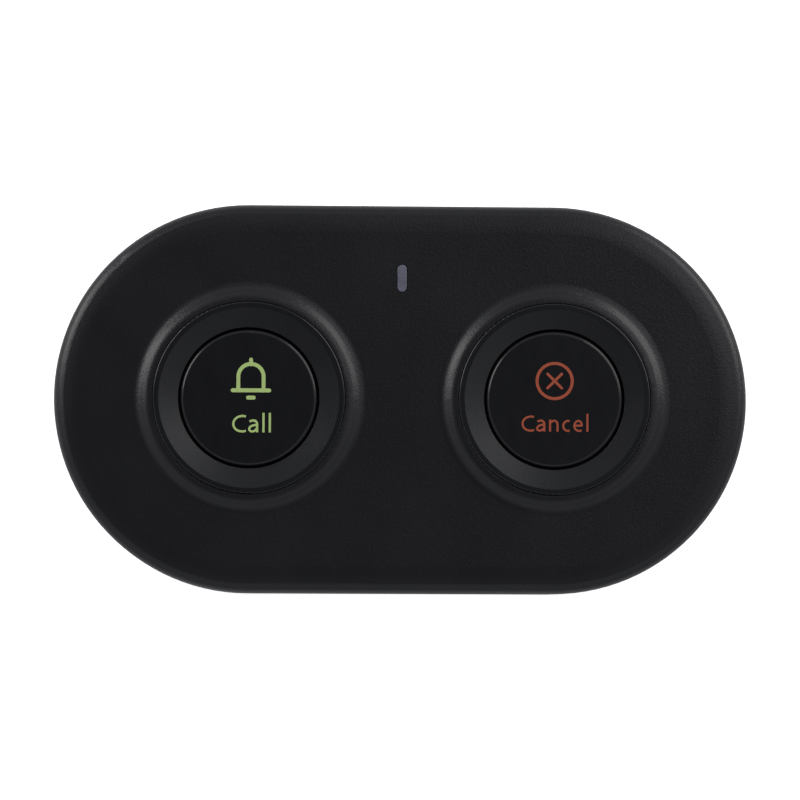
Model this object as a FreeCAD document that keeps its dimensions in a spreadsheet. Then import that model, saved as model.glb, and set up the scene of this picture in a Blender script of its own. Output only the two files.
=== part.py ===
import FreeCAD, Part
import math
import os
import Sketcher

# A two-button waiter call transmitter, in millimetres.
# +X runs along the case from the call button to the cancel button, +Y towards the signal lamp and +Z up, out
# of the buttons. The origin is on the surface the transmitter lies on, under the middle of the case.
# The case is an obround. Each button sits on the centre of one of its round ends.

# ---------------------------------------------------------------------------------------------------------
# Counts, and the places that have no size of their own

SIDES = (("call", -1), ("cancel", 1))
DIAGONALS = ((1, 1), (-1, 1), (-1, -1), (1, -1))
EAR_ANGLES = (30, 150, 270)
FULL_TURN = 360
HALF_TURN = 180
GRIP_GROOVE_COUNT = 5
CAP_RIB_COUNT = 4
CONTROLLER_LEAD_COUNT = 7
RADIO_LEAD_COUNT = 4
ANTENNA_TURN_COUNT = 8
TOLERANCE = 1e-4
# Small parts on the board: distance from the middle along the case, which long edge of the board they are
# placed from, distance from that edge, and whether they lie along the case
CHIP_PART_PLACES = (
    (6.2, -1, 12.4, True),
    (6.2, -1, 10.4, True),
    (6.2, -1, 8.4, True),
    (-6.0, -1, 12.6, True),
    (-2.0, -1, 5.1, False),
    (0.0, -1, 5.1, False),
    (2.0, -1, 5.1, False),
    (-7.4, 1, 13.1, False),
    (-7.4, 1, 10.1, False),
    (7.4, 1, 13.1, False),
    (7.4, 1, 10.1, False),
    (-3.4, 1, 1.8, False),
    (-9.0, 1, 5.1, True),
    (-9.0, 1, 3.1, True),
)

# ---------------------------------------------------------------------------------------------------------
# Driving sizes. Every other size and level follows from these.

SIZES = (
    # Case
    ("case_width", 48.0, "width of the case, and diameter of its round ends"),
    ("button_pitch", 37.7, "distance between the two button axes"),
    ("side_wall", 1.8, "thickness of the case's side walls"),
    ("deck_wall", 1.8, "thickness of the cover under its flat top"),
    ("floor_wall", 1.8, "thickness of the base's floor and of the battery door"),
    ("seam_height", 6.8, "height of the cover's lower edge"),
    ("seam_gap", 0.3, "shadow line between the cover and the base"),
    ("shoulder_width", 2.3, "width of the gentle slope that borders the cover's flat top"),
    ("shoulder_drop", 0.6, "fall of that slope"),
    ("shoulder_round", 8.5, "rounding between that slope and the flat top"),
    ("edge_round", 1.6, "rounding of the cover's top edge"),
    ("base_round", 1.2, "rounding of the base's bottom edge"),
    ("lip_wall", 0.8, "thickness of the lip that locates the base in the cover"),
    ("lip_height", 1.2, "height of that lip above the seam"),
    ("lip_play", 0.1, "gap round that lip"),
    ("cut_clear", 1.0, "how far a cut runs past the outside of its piece"),
    # Raised ring of the cover round each button
    ("ridge_height", 0.78, "height of the raised ring above the flat top"),
    ("ridge_crest", 0.78, "width of the ring's crest"),
    ("ridge_slope", 1.02, "width of the ring's outer slope"),
    ("crest_round", 1.7, "rounding at the crest"),
    ("foot_round", 2.0, "rounding where the slope runs out into the flat top"),
    ("well_edge", 0.05, "rounding of the crest's inner edge"),
    # Collar inside the raised ring
    ("collar_width", 3.15, "radial width of the collar's face"),
    ("collar_gap", 0.06, "gap between the collar and the cover"),
    ("collar_proud", 0.1, "height of the collar's rim above the crest"),
    ("collar_rim", 0.68, "width of the flat rim outside the collar's dished face"),
    ("collar_dish", 0.68, "fall of the dished face from the rim to the collar's inner edge"),
    ("collar_wall", 1.0, "thickness of the collar's face and skirts"),
    ("collar_round", 0.2, "rounding of the collar's outer edge"),
    ("collar_flange", 1.2, "reach of the collar's flange under the cover"),
    ("flange_thickness", 1.0, "thickness of that flange and its ears"),
    ("collar_tail", 0.6, "length of the collar's skirts below the flange"),
    ("ear_offset", 2.0, "distance from the flange's edge to the stakes"),
    ("ear_radius", 1.7, "radius of an ear's round end"),
    ("stake_radius", 0.8, "radius of the stakes that hold the collars"),
    ("stake_play", 0.1, "gap between a stake and its hole"),
    ("stake_head", 0.6, "height of the formed head of a stake"),
    # Button caps
    ("cap_radius", 8.4, "radius of a button cap"),
    ("cap_gap", 0.3, "gap between a cap and its collar"),
    ("cap_proud", 0.3, "height of a cap above its collar's inner edge"),
    ("cap_wall", 1.2, "thickness of a cap's face and skirt"),
    ("cap_round", 0.45, "rounding of a cap's edge"),
    ("cap_flange", 0.85, "reach of a cap's flange under the collar"),
    ("cap_flange_thickness", 0.8, "thickness of that flange"),
    ("cap_post", 0.8, "length of the post that presses the switch"),
    ("cap_post_radius", 1.6, "radius of that post"),
    ("button_travel", 0.5, "travel of a button"),
    ("key_width", 1.4, "width of the lugs that stop a cap turning"),
    ("key_play", 0.2, "gap round those lugs"),
    # Key switches
    ("switch_width", 6.0, "width of a key switch"),
    ("switch_height", 3.5, "height of a key switch's housing and cover plate"),
    ("switch_floor", 0.8, "thickness of the housing's floor"),
    ("switch_plate", 0.3, "thickness of the metal cover plate"),
    ("stem_height", 5.0, "height of a switch's stem above the board"),
    ("stem_radius", 1.7, "radius of that stem"),
    ("stem_play", 0.1, "gap between a stem and its cover plate"),
    ("dome_radius", 2.0, "radius of the snap dome"),
    ("dome_thickness", 0.1, "thickness of the snap dome"),
    # Circuit board
    ("board_thickness", 1.6, "thickness of the circuit board"),
    ("board_play", 0.7, "gap between the board and the screw bosses"),
    ("board_screw_offset", 11.0, "distance of each board screw outside its button's axis"),
    # Coin cell and its contacts
    ("cell_diameter", 20.0, "diameter of the coin cell"),
    ("cell_height", 3.2, "height of the coin cell"),
    ("cell_play", 0.6, "gap between the cell and the battery door"),
    ("contact_gap", 0.5, "space between the cell and the board for the contact"),
    ("contact_sheet", 0.2, "thickness of the contacts' metal sheet"),
    ("contact_width", 4.0, "width of the contacts"),
    ("holder_wall", 1.2, "wall of the ring that holds the cell"),
    ("holder_play", 0.15, "gap between that ring and the cell"),
    ("claw_thickness", 0.5, "thickness of the claws that keep the cell in the ring"),
    ("claw_reach", 0.5, "reach of those claws inside the ring"),
    ("rim_play", 0.05, "gap between the cell's rim and the side contact"),
    # Battery door
    ("door_half", 13.0, "half the width of the battery door's plate"),
    ("door_margin", 2.0, "reach of the door beyond the cell"),
    ("door_lip", 4.0, "height of the door's upturned front"),
    ("tongue_reach", 0.9, "reach of the tongues on the door's sides"),
    ("tongue_thickness", 0.8, "thickness of those tongues"),
    ("rail_height", 1.1, "height of the rails above the floor"),
    ("rail_width", 1.4, "width of a rail outside its groove"),
    ("door_play", 0.12, "gap between the door and the base"),
    ("grip_width", 0.9, "width of a grip groove in the door"),
    ("grip_pitch", 1.8, "distance from one grip groove to the next"),
    # Fasteners and feet
    ("boss_radius", 2.6, "radius of the screw bosses"),
    ("boss_play", 0.15, "gap between a boss and the lip"),
    ("case_screw_radius", 1.0, "radius of a case screw's shank"),
    ("case_screw_grip", 5.0, "length of a case screw inside the cover"),
    ("board_screw_radius", 0.8, "radius of a board screw's shank"),
    ("board_screw_grip", 3.2, "length of a board screw inside its post"),
    ("head_radius", 1.9, "radius of the screw heads"),
    ("head_height", 1.3, "height of the screw heads"),
    ("head_play", 0.25, "gap round a sunk screw head"),
    ("screw_play", 0.1, "gap round a screw's shank in a plain hole"),
    ("pilot_spare", 0.4, "depth of a pilot hole beyond its screw"),
    ("pilot_play", 0.05, "gap round a screw's core in the hole it is driven into"),
    ("post_radius", 2.4, "radius of the posts that carry the board"),
    ("pad_proud", 0.5, "height of the mounting pads outside the base"),
    ("pad_recess", 0.3, "depth of the mounting pads in the base"),
    ("pad_width", 13.0, "width of a mounting pad, along the case"),
    ("pad_inset", 8.6, "distance of a pad from the end of the case"),
    ("pad_margin", 1.9, "gap between a pad and the nearest screw recess"),
    ("pad_corner", 3.0, "corner radius of a mounting pad"),
    ("pad_play", 0.15, "gap round a mounting pad in its recess"),
    # Signal lamp
    ("lamp_inset", 9.1, "distance of the lamp from the case's long edge"),
    ("lamp_width", 1.3, "width of the lamp lens"),
    ("lamp_length", 3.5, "length of the lamp lens"),
    ("lamp_flange", 0.9, "reach of the lens's flange under the cover"),
    ("lamp_air", 0.4, "air between the lens and the lamp"),
    ("lamp_height", 1.2, "height of the lamp on the board"),
    ("lens_play", 0.06, "gap between the lens and the cover"),
    # Parts on the board
    ("rivet_radius", 0.35, "radius of the rivets in a key switch's plate"),
    ("chip_width", 3.9, "width of the moulded packages"),
    ("chip_height", 1.4, "height of the moulded packages"),
    ("chip_stand", 0.1, "gap between a package and the board"),
    ("lead_pitch", 1.27, "distance from one lead to the next"),
    ("lead_width", 0.42, "width of a lead"),
    ("lead_reach", 0.35, "reach of a lead before it bends down"),
    ("lead_foot", 0.7, "length of a lead's foot"),
    ("switch_lead_width", 0.7, "width of a key switch's lead"),
    ("switch_lead_reach", 0.5, "reach of a key switch's lead before it bends down"),
    ("switch_lead_foot", 1.0, "length of the foot of a key switch's lead"),
    ("controller_length", 8.65, "length of the controller's package"),
    ("controller_x", 0.0, "place of the controller along the case"),
    ("controller_inset", 11.95, "distance of the controller from the board's lamp edge"),
    ("radio_length", 4.9, "length of the radio's package"),
    ("radio_x", 0.5, "place of the radio along the case"),
    ("radio_inset", 10.65, "distance of the radio from the board's door edge"),
    ("crystal_x", -5.6, "place of the crystal along the case"),
    ("crystal_inset", 9.75, "distance of the crystal from the board's door edge"),
    ("crystal_length", 3.2, "length of the crystal's rim"),
    ("crystal_width", 2.5, "width of the crystal's rim"),
    ("crystal_height", 0.8, "height of the crystal"),
    ("chip_part_length", 1.6, "length of the small parts"),
    ("chip_part_width", 0.8, "width of the small parts"),
    ("chip_part_height", 0.5, "height of the small parts"),
    ("lamp_base_length", 3.2, "length of the lamp's base"),
    ("lamp_base_width", 1.6, "width of the lamp's base"),
    ("antenna_x", 6.0, "place of the antenna's first end along the case"),
    ("antenna_play", 0.1, "gap between the antenna and the collar's skirt"),
    ("antenna_radius", 1.15, "radius of the antenna coil, to the middle of its wire"),
    ("antenna_wire", 0.3, "radius of the antenna's wire"),
    ("antenna_pitch", 1.6, "distance from one turn of the antenna to the next"),
)

# Levels and places that follow from the driving sizes.

LEVELS = (
    ("half_pitch", "sizes.button_pitch / 2"),
    ("end_radius", "sizes.case_width / 2"),
    ("inner_radius", "levels.end_radius - sizes.side_wall"),
    # Heights, from the table up
    ("underside", "sizes.pad_proud"),
    ("floor_top", "levels.underside + sizes.floor_wall"),
    ("cell_bottom", "levels.floor_top + sizes.cell_play"),
    ("cell_top", "levels.cell_bottom + sizes.cell_height"),
    ("board_bottom", "levels.cell_top + sizes.contact_gap"),
    ("board_top", "levels.board_bottom + sizes.board_thickness"),
    ("stem_top", "levels.board_top + sizes.stem_height"),
    ("cap_ceiling", "levels.stem_top + sizes.cap_post"),
    ("cap_top", "levels.cap_ceiling + sizes.cap_wall"),
    ("collar_inner_edge", "levels.cap_top - sizes.cap_proud"),
    ("collar_outer_edge", "levels.collar_inner_edge + sizes.collar_dish"),
    ("crest", "levels.collar_outer_edge - sizes.collar_proud"),
    ("deck", "levels.crest - sizes.ridge_height"),
    ("ceiling", "levels.deck - sizes.deck_wall"),
    ("flange_bottom", "levels.ceiling - sizes.flange_thickness"),
    ("collar_bottom", "levels.flange_bottom - sizes.collar_tail"),
    ("base_rim", "sizes.seam_height - sizes.seam_gap"),
    # Radii round each button's axis, from the cap out
    ("collar_inner", "sizes.cap_radius + sizes.cap_gap"),
    ("collar_outer", "levels.collar_inner + sizes.collar_width"),
    ("well_radius", "levels.collar_outer + sizes.collar_gap"),
    ("flange_radius", "levels.well_radius + sizes.collar_flange"),
    ("stake_circle", "levels.flange_radius + sizes.ear_offset"),
    # Screws and board
    ("boss_circle", "levels.inner_radius - sizes.boss_radius - sizes.boss_play"),
    ("boss_offset", "levels.boss_circle * sqrt(0.5)"),
    ("board_radius", "levels.boss_circle - sizes.boss_radius - sizes.board_play"),
    ("board_screw_x", "levels.half_pitch + sizes.board_screw_offset"),
    ("head_recess", "sizes.head_radius + sizes.head_play"),
    # Cell and door
    ("cell_radius", "sizes.cell_diameter / 2"),
    ("holder_inner", "levels.cell_radius + sizes.holder_play"),
    ("holder_outer", "levels.holder_inner + sizes.holder_wall"),
    ("cell_y", "levels.holder_outer + sizes.holder_play - levels.board_radius"),
    ("door_back", "levels.cell_y + levels.cell_radius + sizes.door_margin"),
    ("door_front_half", "sizes.door_half + sizes.tongue_reach + 3 * sizes.door_play"),
    ("tongue_bottom", "levels.floor_top - sizes.tongue_thickness"),
    ("pad_half_length", "levels.boss_offset - levels.head_recess - sizes.pad_margin"),
    ("pad_end", "levels.end_radius - sizes.pad_inset"),
    ("lamp_y", "levels.end_radius - sizes.lamp_inset"),
    # Places of the parts on the board
    ("controller_y", "levels.board_radius - sizes.controller_inset"),
    ("radio_y", "sizes.radio_inset - levels.board_radius"),
    ("crystal_y", "sizes.crystal_inset - levels.board_radius"),
    ("antenna_y", "levels.collar_outer + sizes.antenna_play + sizes.antenna_radius + sizes.antenna_wire"),
    ("antenna_length", f"{ANTENNA_TURN_COUNT} * sizes.antenna_pitch"),
    # Caps and key switches
    ("cap_bore", "sizes.cap_radius - sizes.cap_wall"),
    ("cap_flange_radius", "levels.collar_inner + sizes.cap_flange"),
    ("key_height", "2 * sizes.button_travel"),
    ("plate_top", "levels.board_top + sizes.switch_height"),
    ("plate_bottom", "levels.plate_top - sizes.switch_plate"),
    ("dome_base", "levels.board_top + sizes.switch_floor"),
    ("dome_top", "levels.dome_base + sizes.button_travel + 2 * sizes.dome_thickness"),
    ("switch_bore", "sizes.stem_radius + 6 * sizes.stem_play"),
    ("rivet_place", "sizes.switch_width / 2 - 2 * sizes.rivet_radius"),
)

document = FreeCAD.newDocument("waiter_call_button")
sub_parts = []


def fill_sheet():
    """Writes the driving sizes to the spreadsheet, and ties the levels to them."""
    sheet = document.addObject("Spreadsheet::Sheet", "sizes")
    for row, (alias, size, meaning) in enumerate(SIZES, start=1):
        sheet.set(f"A{row}", meaning)
        sheet.set(f"B{row}", str(size))
        sheet.setAlias(f"B{row}", alias)
    document.recompute()
    levels = document.addObject("App::VarSet", "levels")
    for name, expression in LEVELS:
        levels.addProperty("App::PropertyFloat", name, "Levels")
        levels.setExpression(name, expression)
        document.recompute()
    return sheet


def value_of(expression):
    """The number that an expression of sizes and levels gives."""
    return float(sizes_sheet.evalExpression(str(expression)))


# ---------------------------------------------------------------------------------------------------------
# Sketches. Every line, arc and circle is held by constraints that are tied to sizes and levels.


def new_body(label, x="0", y="0"):
    """A body whose own origin stands at x, y."""
    body = document.addObject("PartDesign::Body", label)
    body.Label = label
    body.setExpression(".Placement.Base.x", str(x))
    body.setExpression(".Placement.Base.y", str(y))
    sub_parts.append(body)
    return body


def origin_item(body, role):
    """A plane or axis of the body's own origin."""
    return next(item for item in body.Origin.OriginFeatures if item.Role == role)


def sketch_on(body, role, name, height="0", shift="0", lift="0"):
    """A sketch on an origin plane, raised along its normal by height and moved in it by shift and lift."""
    sketch = body.newObject("Sketcher::SketchObject", name)
    sketch.AttachmentSupport = [(origin_item(body, role), "")]
    sketch.MapMode = "FlatFace"
    sketch.setExpression(".AttachmentOffset.Base.z", str(height))
    sketch.setExpression(".AttachmentOffset.Base.x", str(shift))
    sketch.setExpression(".AttachmentOffset.Base.y", str(lift))
    return sketch


def spin(sketch, angle):
    """Turns a sketch in its own plane, by an angle in degrees."""
    sketch.setExpression(".AttachmentOffset.Rotation.Angle", str(angle))


def hold(sketch, kind, *references, expression):
    """Adds a dimension to the sketch and ties it to an expression."""
    index = sketch.addConstraint(Sketcher.Constraint(kind, *references, value_of(expression)))
    sketch.setExpression(f"Constraints[{index}]", str(expression))


def hold_point(sketch, item, end, x, y):
    """Fixes one point of a sketch item at x, y."""
    hold(sketch, "DistanceX", -1, 1, item, end, expression=x)
    hold(sketch, "DistanceY", -1, 1, item, end, expression=y)


def circle(sketch, x, y, radius):
    """Draws a circle round x, y."""
    centre = FreeCAD.Vector(value_of(x), value_of(y), 0)
    item = sketch.addGeometry(Part.Circle(centre, FreeCAD.Vector(0, 0, 1), value_of(radius)))
    hold_point(sketch, item, 3, x, y)
    hold(sketch, "Radius", item, expression=radius)


def corner_arc(before, corner, after, radius):
    """The arc that rounds a corner, its two ends in path order, and whether the path turns left there."""
    arriving = (corner - before).normalize()
    leaving = (after - corner).normalize()
    turn = math.atan2(arriving.cross(leaving).z, arriving.dot(leaving))
    left = turn > 0
    reach = radius * math.tan(abs(turn) / 2)
    start = corner - arriving * reach
    end = corner + leaving * reach
    inward = FreeCAD.Vector(-arriving.y, arriving.x, 0) * (radius if left else -radius)
    centre = start + inward
    first, last = (start, end) if left else (end, start)
    angles = [math.atan2(point.y - centre.y, point.x - centre.x) for point in (first, last)]
    arc = Part.ArcOfCircle(Part.Circle(centre, FreeCAD.Vector(0, 0, 1), radius), *angles)
    return arc, start, end, left


def outline(sketch, *corners):
    """Draws a closed outline through corners, each given as (x, y) or, if it is rounded, (x, y, radius)."""
    points = [FreeCAD.Vector(value_of(c[0]), value_of(c[1]), 0) for c in corners]
    count = len(corners)
    rounds = {}
    for i, corner in enumerate(corners):
        if len(corner) == 3:
            rounds[i] = corner_arc(points[i - 1], points[i], points[(i + 1) % count], value_of(corner[2]))
    lines = []
    for i in range(count):
        start = rounds[i][2] if i in rounds else points[i]
        following = (i + 1) % count
        end = rounds[following][1] if following in rounds else points[following]
        lines.append(sketch.addGeometry(Part.LineSegment(start, end)))
    for i, corner in enumerate(corners):
        arriving, leaving = lines[i - 1], lines[i]
        if i not in rounds:
            sketch.addConstraint(Sketcher.Constraint("Coincident", arriving, 2, leaving, 1))
            hold_point(sketch, leaving, 1, corner[0], corner[1])
            continue
        arc = sketch.addGeometry(rounds[i][0])
        first, last = (1, 2) if rounds[i][3] else (2, 1)
        sketch.addConstraint(Sketcher.Constraint("Tangent", arriving, 2, arc, first))
        sketch.addConstraint(Sketcher.Constraint("Tangent", arc, last, leaving, 1))
        mark = sketch.addGeometry(Part.Point(points[i]), True)
        sketch.addConstraint(Sketcher.Constraint("PointOnObject", mark, 1, arriving))
        sketch.addConstraint(Sketcher.Constraint("PointOnObject", mark, 1, leaving))
        hold_point(sketch, mark, 1, corner[0], corner[1])
        hold(sketch, "Radius", arc, expression=corner[2])


def rectangle(sketch, left, bottom, right, top, corner=None):
    """Draws a rectangle, with rounded corners if corner gives their radius."""
    ends = ((left, bottom), (right, bottom), (right, top), (left, top))
    outline(sketch, *[end if corner is None else (*end, corner) for end in ends])


def obround(sketch, half_span, radius, y="0", upright=False):
    """Draws an obround whose end centres lie half_span from the middle, along X or, if upright, along Y."""
    reach, end_radius, middle = value_of(half_span), value_of(radius), value_of(y)
    along = FreeCAD.Vector(0, 1, 0) if upright else FreeCAD.Vector(1, 0, 0)
    across = FreeCAD.Vector(-along.y, along.x, 0)
    start_angle = math.atan2(-across.y, -across.x)
    arcs = []
    for sign in (1, -1):
        centre = FreeCAD.Vector(0, middle, 0) + along * (reach * sign)
        ring = Part.Circle(centre, FreeCAD.Vector(0, 0, 1), end_radius)
        first = start_angle if sign == 1 else start_angle + math.pi
        arcs.append(sketch.addGeometry(Part.ArcOfCircle(ring, first, first + math.pi)))
        shift = f"{sign} * ({half_span})"
        x_place, y_place = ("0", f"{y} + {shift}") if upright else (shift, y)
        hold_point(sketch, arcs[-1], 3, x_place, y_place)
    for tail, head in ((0, 1), (1, 0)):
        start = sketch.getPoint(arcs[tail], 2)
        end = sketch.getPoint(arcs[head], 1)
        line = sketch.addGeometry(Part.LineSegment(start, end))
        sketch.addConstraint(Sketcher.Constraint("Tangent", arcs[tail], 2, line, 1))
        sketch.addConstraint(Sketcher.Constraint("Tangent", line, 2, arcs[head], 1))
    sketch.addConstraint(Sketcher.Constraint("Equal", arcs[0], arcs[1]))
    hold(sketch, "Radius", arcs[0], expression=radius)


# ---------------------------------------------------------------------------------------------------------
# Features


def raise_pad(body, sketch, length, symmetric=False):
    """Pads a sketch along its normal."""
    feature = body.newObject("PartDesign::Pad", sketch.Name + "_pad")
    feature.Profile = sketch
    feature.SideType = "Symmetric" if symmetric else "One side"
    feature.setExpression("Length", str(length))
    document.recompute()
    return feature


def lower_pad(body, sketch, length):
    """Pads a sketch against its normal."""
    feature = raise_pad(body, sketch, length)
    feature.Reversed = True
    document.recompute()
    return feature


def cut(body, sketch, depth, up=False):
    """Pockets a sketch against its normal or, if up, along it."""
    feature = body.newObject("PartDesign::Pocket", sketch.Name + "_pocket")
    feature.Profile = sketch
    feature.Reversed = up
    feature.setExpression("Length", str(depth))
    document.recompute()
    return feature


def turn(body, sketch, angle=FULL_TURN):
    """Revolves a sketch round its own vertical axis, half the angle to either side."""
    feature = body.newObject("PartDesign::Revolution", sketch.Name + "_turned")
    feature.Profile = sketch
    feature.ReferenceAxis = (sketch, ["V_Axis"])
    feature.Midplane = True
    feature.Angle = angle
    document.recompute()
    return feature


def mirror(body, *features, role="YZ_Plane"):
    """Repeats features, or the whole body if none is named, across one of its origin planes."""
    feature = body.newObject("PartDesign::Mirrored", f"{body.Label}_across_{role[:2]}")
    if features:
        feature.Originals = list(features)
    else:
        feature.TransformMode = "Whole shape"
    feature.MirrorPlane = (origin_item(body, role), [""])
    body.Tip = feature
    document.recompute()
    return feature


def repeat_along(body, axis, features, length, count):
    """Repeats features in a row along an origin axis of the body. Length runs from the first to the last."""
    feature = body.newObject("PartDesign::LinearPattern", f"{features[0].Name}_row")
    feature.Originals = list(features)
    feature.Direction = (origin_item(body, axis), [""])
    feature.setExpression("Length", str(length))
    feature.Occurrences = count
    body.Tip = feature
    document.recompute()
    return feature


def repeat_round(body, features, count):
    """Repeats features evenly round the body's own upright axis."""
    feature = body.newObject("PartDesign::PolarPattern", f"{features[0].Name}_ring")
    feature.Originals = list(features)
    feature.Axis = (origin_item(body, "Z_Axis"), [""])
    feature.Angle = FULL_TURN
    feature.Occurrences = count
    body.Tip = feature
    document.recompute()
    return feature


def edges_at(shape, height, keep=lambda edge: True):
    """Names of the edges that lie flat at a height."""
    names = []
    for number, edge in enumerate(shape.Edges, start=1):
        box = edge.BoundBox
        if max(abs(box.ZMin - height), abs(box.ZMax - height)) < TOLERANCE and keep(edge):
            names.append(f"Edge{number}")
    return names


def round_edges(body, names, radius, kind="Fillet"):
    """Rounds edges of the body's last feature, or chamfers them."""
    base = body.Tip
    feature = body.newObject(f"PartDesign::{kind}", f"{base.Name}_{kind.lower()}")
    feature.Base = (base, names)
    feature.setExpression("Radius" if kind == "Fillet" else "Size", str(radius))
    document.recompute()
    return feature


# ---------------------------------------------------------------------------------------------------------
# Case


def boss_circles(sketch, radius):
    """Draws a circle at each of the four case screws."""
    for x_sign, y_sign in DIAGONALS:
        x = f"{x_sign} * (levels.half_pitch + levels.boss_offset)"
        circle(sketch, x, f"{y_sign} * levels.boss_offset", radius)


def stake_places():
    """The middle of each stake that holds a collar, as expressions."""
    for _, sign in SIDES:
        for angle in EAR_ANGLES:
            x = f"{sign} * levels.half_pitch + levels.stake_circle * cos({angle} deg)"
            yield x, f"levels.stake_circle * sin({angle} deg)"


def cover_section(sketch):
    """Draws one half of the cover's section, outwards from its middle line."""
    outline(
        sketch,
        ("0", "sizes.seam_height"),
        ("levels.end_radius", "sizes.seam_height"),
        ("levels.end_radius", "levels.deck - sizes.shoulder_drop", "sizes.edge_round"),
        ("levels.end_radius - sizes.shoulder_width", "levels.deck", "sizes.shoulder_round"),
        ("0", "levels.deck"),
    )


def make_top_cover():
    """The upper shell, with a raised ring and a well round each button."""
    body = new_body("top_cover")
    length = sketch_on(body, "YZ_Plane", "cover_section")
    cover_section(length)
    mirror(body, raise_pad(body, length, "2 * levels.half_pitch", symmetric=True), role="XZ_Plane")
    end = sketch_on(body, "XZ_Plane", "cover_end", shift="levels.half_pitch")
    cover_section(end)
    mirror(body, turn(body, end, HALF_TURN))

    ridge = sketch_on(body, "XZ_Plane", "ridge_profile", shift="levels.half_pitch")
    crest_end = "levels.well_radius + sizes.ridge_crest"
    foot = f"{crest_end} + sizes.ridge_slope"
    run_out = f"{foot} + sizes.foot_round"
    outline(
        ridge,
        ("levels.well_radius", "levels.ceiling"),
        (run_out, "levels.ceiling"),
        (run_out, "levels.deck"),
        (foot, "levels.deck", "sizes.foot_round"),
        (crest_end, "levels.crest", "sizes.crest_round"),
        ("levels.well_radius", "levels.crest", "sizes.well_edge"),
    )
    mirror(body, turn(body, ridge))

    hollow = sketch_on(body, "XY_Plane", "cover_hollow", "sizes.seam_height")
    obround(hollow, "levels.half_pitch", "levels.inner_radius")
    cut(body, hollow, "levels.ceiling - sizes.seam_height", up=True)
    round_edges(body, edges_at(body.Shape, value_of("levels.ceiling")), "sizes.edge_round * 3 / 4")

    rebate = sketch_on(body, "XY_Plane", "lip_rebate", "sizes.seam_height")
    obround(rebate, "levels.half_pitch", "levels.inner_radius + sizes.lip_wall + sizes.lip_play")
    cut(body, rebate, "sizes.lip_height + sizes.lip_play", up=True)

    wells = sketch_on(body, "XY_Plane", "button_wells", "levels.crest")
    for _, sign in SIDES:
        circle(wells, f"{sign} * levels.half_pitch", "0", "levels.well_radius")
    cut(body, wells, "levels.crest - levels.ceiling")

    bosses = sketch_on(body, "XY_Plane", "cover_bosses", "sizes.seam_height")
    boss_circles(bosses, "sizes.boss_radius")
    raise_pad(body, bosses, "levels.ceiling - sizes.seam_height")
    root_height = "sizes.seam_height + sizes.lip_height + 2 * sizes.lip_play"
    collars = sketch_on(body, "XY_Plane", "boss_roots", root_height)
    boss_circles(collars, "sizes.boss_radius + 4 * sizes.boss_play")
    raise_pad(body, collars, "levels.ceiling - sizes.seam_height - sizes.lip_height - 2 * sizes.lip_play")
    pilots = sketch_on(body, "XY_Plane", "cover_pilots", "sizes.seam_height")
    boss_circles(pilots, "sizes.case_screw_radius + sizes.pilot_play")
    cut(body, pilots, "sizes.case_screw_grip + sizes.pilot_spare", up=True)

    stakes = sketch_on(body, "XY_Plane", "stakes", "levels.ceiling")
    heads = sketch_on(body, "XY_Plane", "stake_heads", "levels.flange_bottom")
    for x, y in stake_places():
        circle(stakes, x, y, "sizes.stake_radius")
        circle(heads, x, y, "sizes.stake_radius + 5 * sizes.stake_play")
    lower_pad(body, stakes, "sizes.flange_thickness")
    lower_pad(body, heads, "sizes.stake_head")
    head_bottom = value_of("levels.flange_bottom - sizes.stake_head")
    round_edges(body, edges_at(body.Shape, head_bottom), "sizes.stake_head * 0.6")

    slot = sketch_on(body, "XY_Plane", "lamp_slot", "levels.deck")
    span = "(sizes.lamp_length - sizes.lamp_width) / 2"
    obround(slot, span, "sizes.lamp_width / 2", "levels.lamp_y", upright=True)
    cut(body, slot, "sizes.deck_wall")
    return body


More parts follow.
